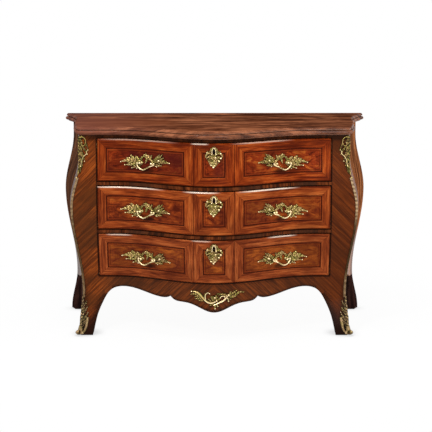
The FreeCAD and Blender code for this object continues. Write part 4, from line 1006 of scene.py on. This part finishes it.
def toe_scroll(side, word):
    """Fluted scroll that curls out over a front toe."""
    y = front_y(BOW_HALF_WIDTH, TOE_LEVEL)
    corner = Vector((side_x(y, TOE_LEVEL), y, 0.0))
    outward = Vector((1.0, -1.0, 0.0)).normalized()
    across = Vector((1.0, 1.0, 0.0)).normalized()

    def place(u, w, h):
        point = corner + outward * h + across * u + Vector((0.0, 0.0, w))
        return Vector((side * point.x, point.y, point.z)) * MM

    toe = Relief(place)
    curl = smooth_path([Vector(point) for point in TOE_CURL], TOE_STEPS)
    sides = 12
    points = []
    shades = []
    for index, middle in enumerate(curl):
        t = index / TOE_STEPS
        ahead = (curl[min(TOE_STEPS, index + 1)] - curl[max(0, index - 1)]).normalized()
        half = 8.0 + 7.0 * math.sin(math.pi * min(1.0, t * 1.25)) - 1.5 * t
        thick = 4.4 - 1.4 * t
        for j in range(sides):
            turn = 2 * math.pi * j / sides
            flute = 1.0 + 0.16 * math.cos(4 * turn)
            off = thick * flute * math.sin(turn)
            height = middle.y + ahead.x * off
            points.append(place(half * math.cos(turn), height, middle.x - ahead.y * off))
            shade = 0.42 + 0.4 * abs(math.sin(turn)) * (0.4 + 0.6 * math.cos(4 * turn) ** 2)
            # Painted shade: darker toward the floor, on the scroll's underside
            shades.append(shade * min(1.0, 0.3 + height / 28))
    toe.tube(points, shades, TOE_STEPS, sides)
    toe.finish(word + "_toe_scroll", "carcass", DULL_BRASS)


SIDES = ((-1, "left"), (1, "right"))
for row in range(len(DRAWER_NAMES)):
    escutcheon(row)
    for side, word in SIDES:
        handle_plate(row, side, word)
        bail(row, side, word)
apron_spray()
for side, word in SIDES:
    corner_leaves(side, word)
    foot_leaves(side, word)
    toe_scroll(side, word)


def lay_floor(reach):
    """Pale floor that keeps a faint shadow, with a painted shadow round the feet."""
    mesh = bpy.data.meshes.new("floor")
    corners = ((-reach, -reach, 0), (reach, -reach, 0), (reach, reach, 0), (-reach, reach, 0))
    mesh.from_pydata(corners, [], [(0, 1, 2, 3)])
    floor = bpy.data.objects.new("floor", mesh)
    bpy.context.scene.collection.objects.link(floor)
    p = Paint("floor_white")
    p.surface(tone(248, 248, 248), 0.9, 0.1)
    glow = p.node("ShaderNodeEmission", (1.0, 1.0, 1.0, 1.0), 1.0)
    rays = p.node("ShaderNodeLightPath")
    x, y, _ = p.coordinates()
    away = p.math("SQRT", p.plus(p.times(x, x), p.times(y, y)))
    plain = p.plus(p.step(away, 0.7, 1.5, 0.05), 0.95)
    # Painted shadow: the floor's glow dims where the feet crowd it
    p.put(p.plus(p.step(p.recess(0.055), 0.5, 0.95, 0.26), 0.74), glow.inputs[1])
    share = p.times(rays.outputs["Is Camera Ray"], plain)
    blend = p.node("ShaderNodeMixShader", share, p.shader.outputs[0], glow.outputs[0])
    p.put(blend.outputs[0], p.tree.nodes["Material Output"].inputs[0])
    mesh.materials.append(p.material)


def surround():
    """World that shows white and lights the chest at half that level."""
    world = bpy.data.worlds.new("studio")
    world.use_nodes = True
    bpy.context.scene.world = world
    tree = world.node_tree
    backdrop = tree.nodes["Background"]
    backdrop.inputs[0].default_value = (1.0, 1.0, 1.0, 1.0)
    rays = tree.nodes.new("ShaderNodeLightPath")
    shown = rays.outputs["Is Camera Ray"]
    for kind in ("Is Glossy Ray", "Is Transmission Ray"):
        either = tree.nodes.new("ShaderNodeMath")
        either.operation = "MAXIMUM"
        tree.links.new(shown, either.inputs[0])
        tree.links.new(rays.outputs[kind], either.inputs[1])
        shown = either.outputs[0]
    level = tree.nodes.new("ShaderNodeMapRange")
    level.inputs[3].default_value = 0.5
    level.inputs[4].default_value = 1.0
    tree.links.new(shown, level.inputs[0])
    tree.links.new(level.outputs[0], backdrop.inputs[1])


def lamp(name, place, target, size, power):
    data = bpy.data.lights.new(name, "AREA")
    data.shape = "RECTANGLE"
    data.size = size[0]
    data.size_y = size[1]
    data.energy = power
    light = bpy.data.objects.new(name, data)
    light.location = place
    light.rotation_euler = (Vector(target) - Vector(place)).to_track_quat("-Z", "Y").to_euler()
    bpy.context.scene.collection.objects.link(light)


def photograph():
    """Camera of the photograph, fitted to the chest's own outline."""
    data = bpy.data.cameras.new("photo_camera")
    data.lens = CAMERA_LENS
    data.sensor_width = SENSOR_WIDTH
    data.sensor_fit = "HORIZONTAL"
    camera = bpy.data.objects.new("photo_camera", data)
    bpy.context.scene.collection.objects.link(camera)
    right = Vector((math.cos(CAMERA_YAW), math.sin(CAMERA_YAW), 0.0))
    level = math.cos(CAMERA_PITCH)
    ahead = Vector((-math.sin(CAMERA_YAW) * level, math.cos(CAMERA_YAW) * level, -math.sin(CAMERA_PITCH)))
    up = right.cross(ahead)
    turned_right = right * math.cos(CAMERA_ROLL) + up * math.sin(CAMERA_ROLL)
    turned_up = up * math.cos(CAMERA_ROLL) - right * math.sin(CAMERA_ROLL)
    turn = Matrix((turned_right, turned_up, -ahead)).transposed().to_4x4()
    camera.matrix_world = Matrix.Translation(Vector(CAMERA_PLACE) * MM) @ turn
    bpy.context.scene.camera = camera


lay_floor(9.0)
surround()
lamp("key", (-1.2, -2.5, 2.9), (0.0, -0.1, 0.45), (0.5, 0.5), 58.0)
lamp("overhead", (-0.35, -0.85, 3.1), (-0.1, -0.3, 0.5), (1.3, 0.4), 26.0)
lamp("front_fill", (1.0, -4.8, 2.0), (0.0, 0.0, 0.45), (2.0, 1.8), 41.0)
lamp("right_side", (3.2, -0.6, 1.4), (0.5, 0.0, 0.5), (1.4, 1.4), 34.0)
photograph()
bpy.context.scene.view_settings.view_transform = "Standard"
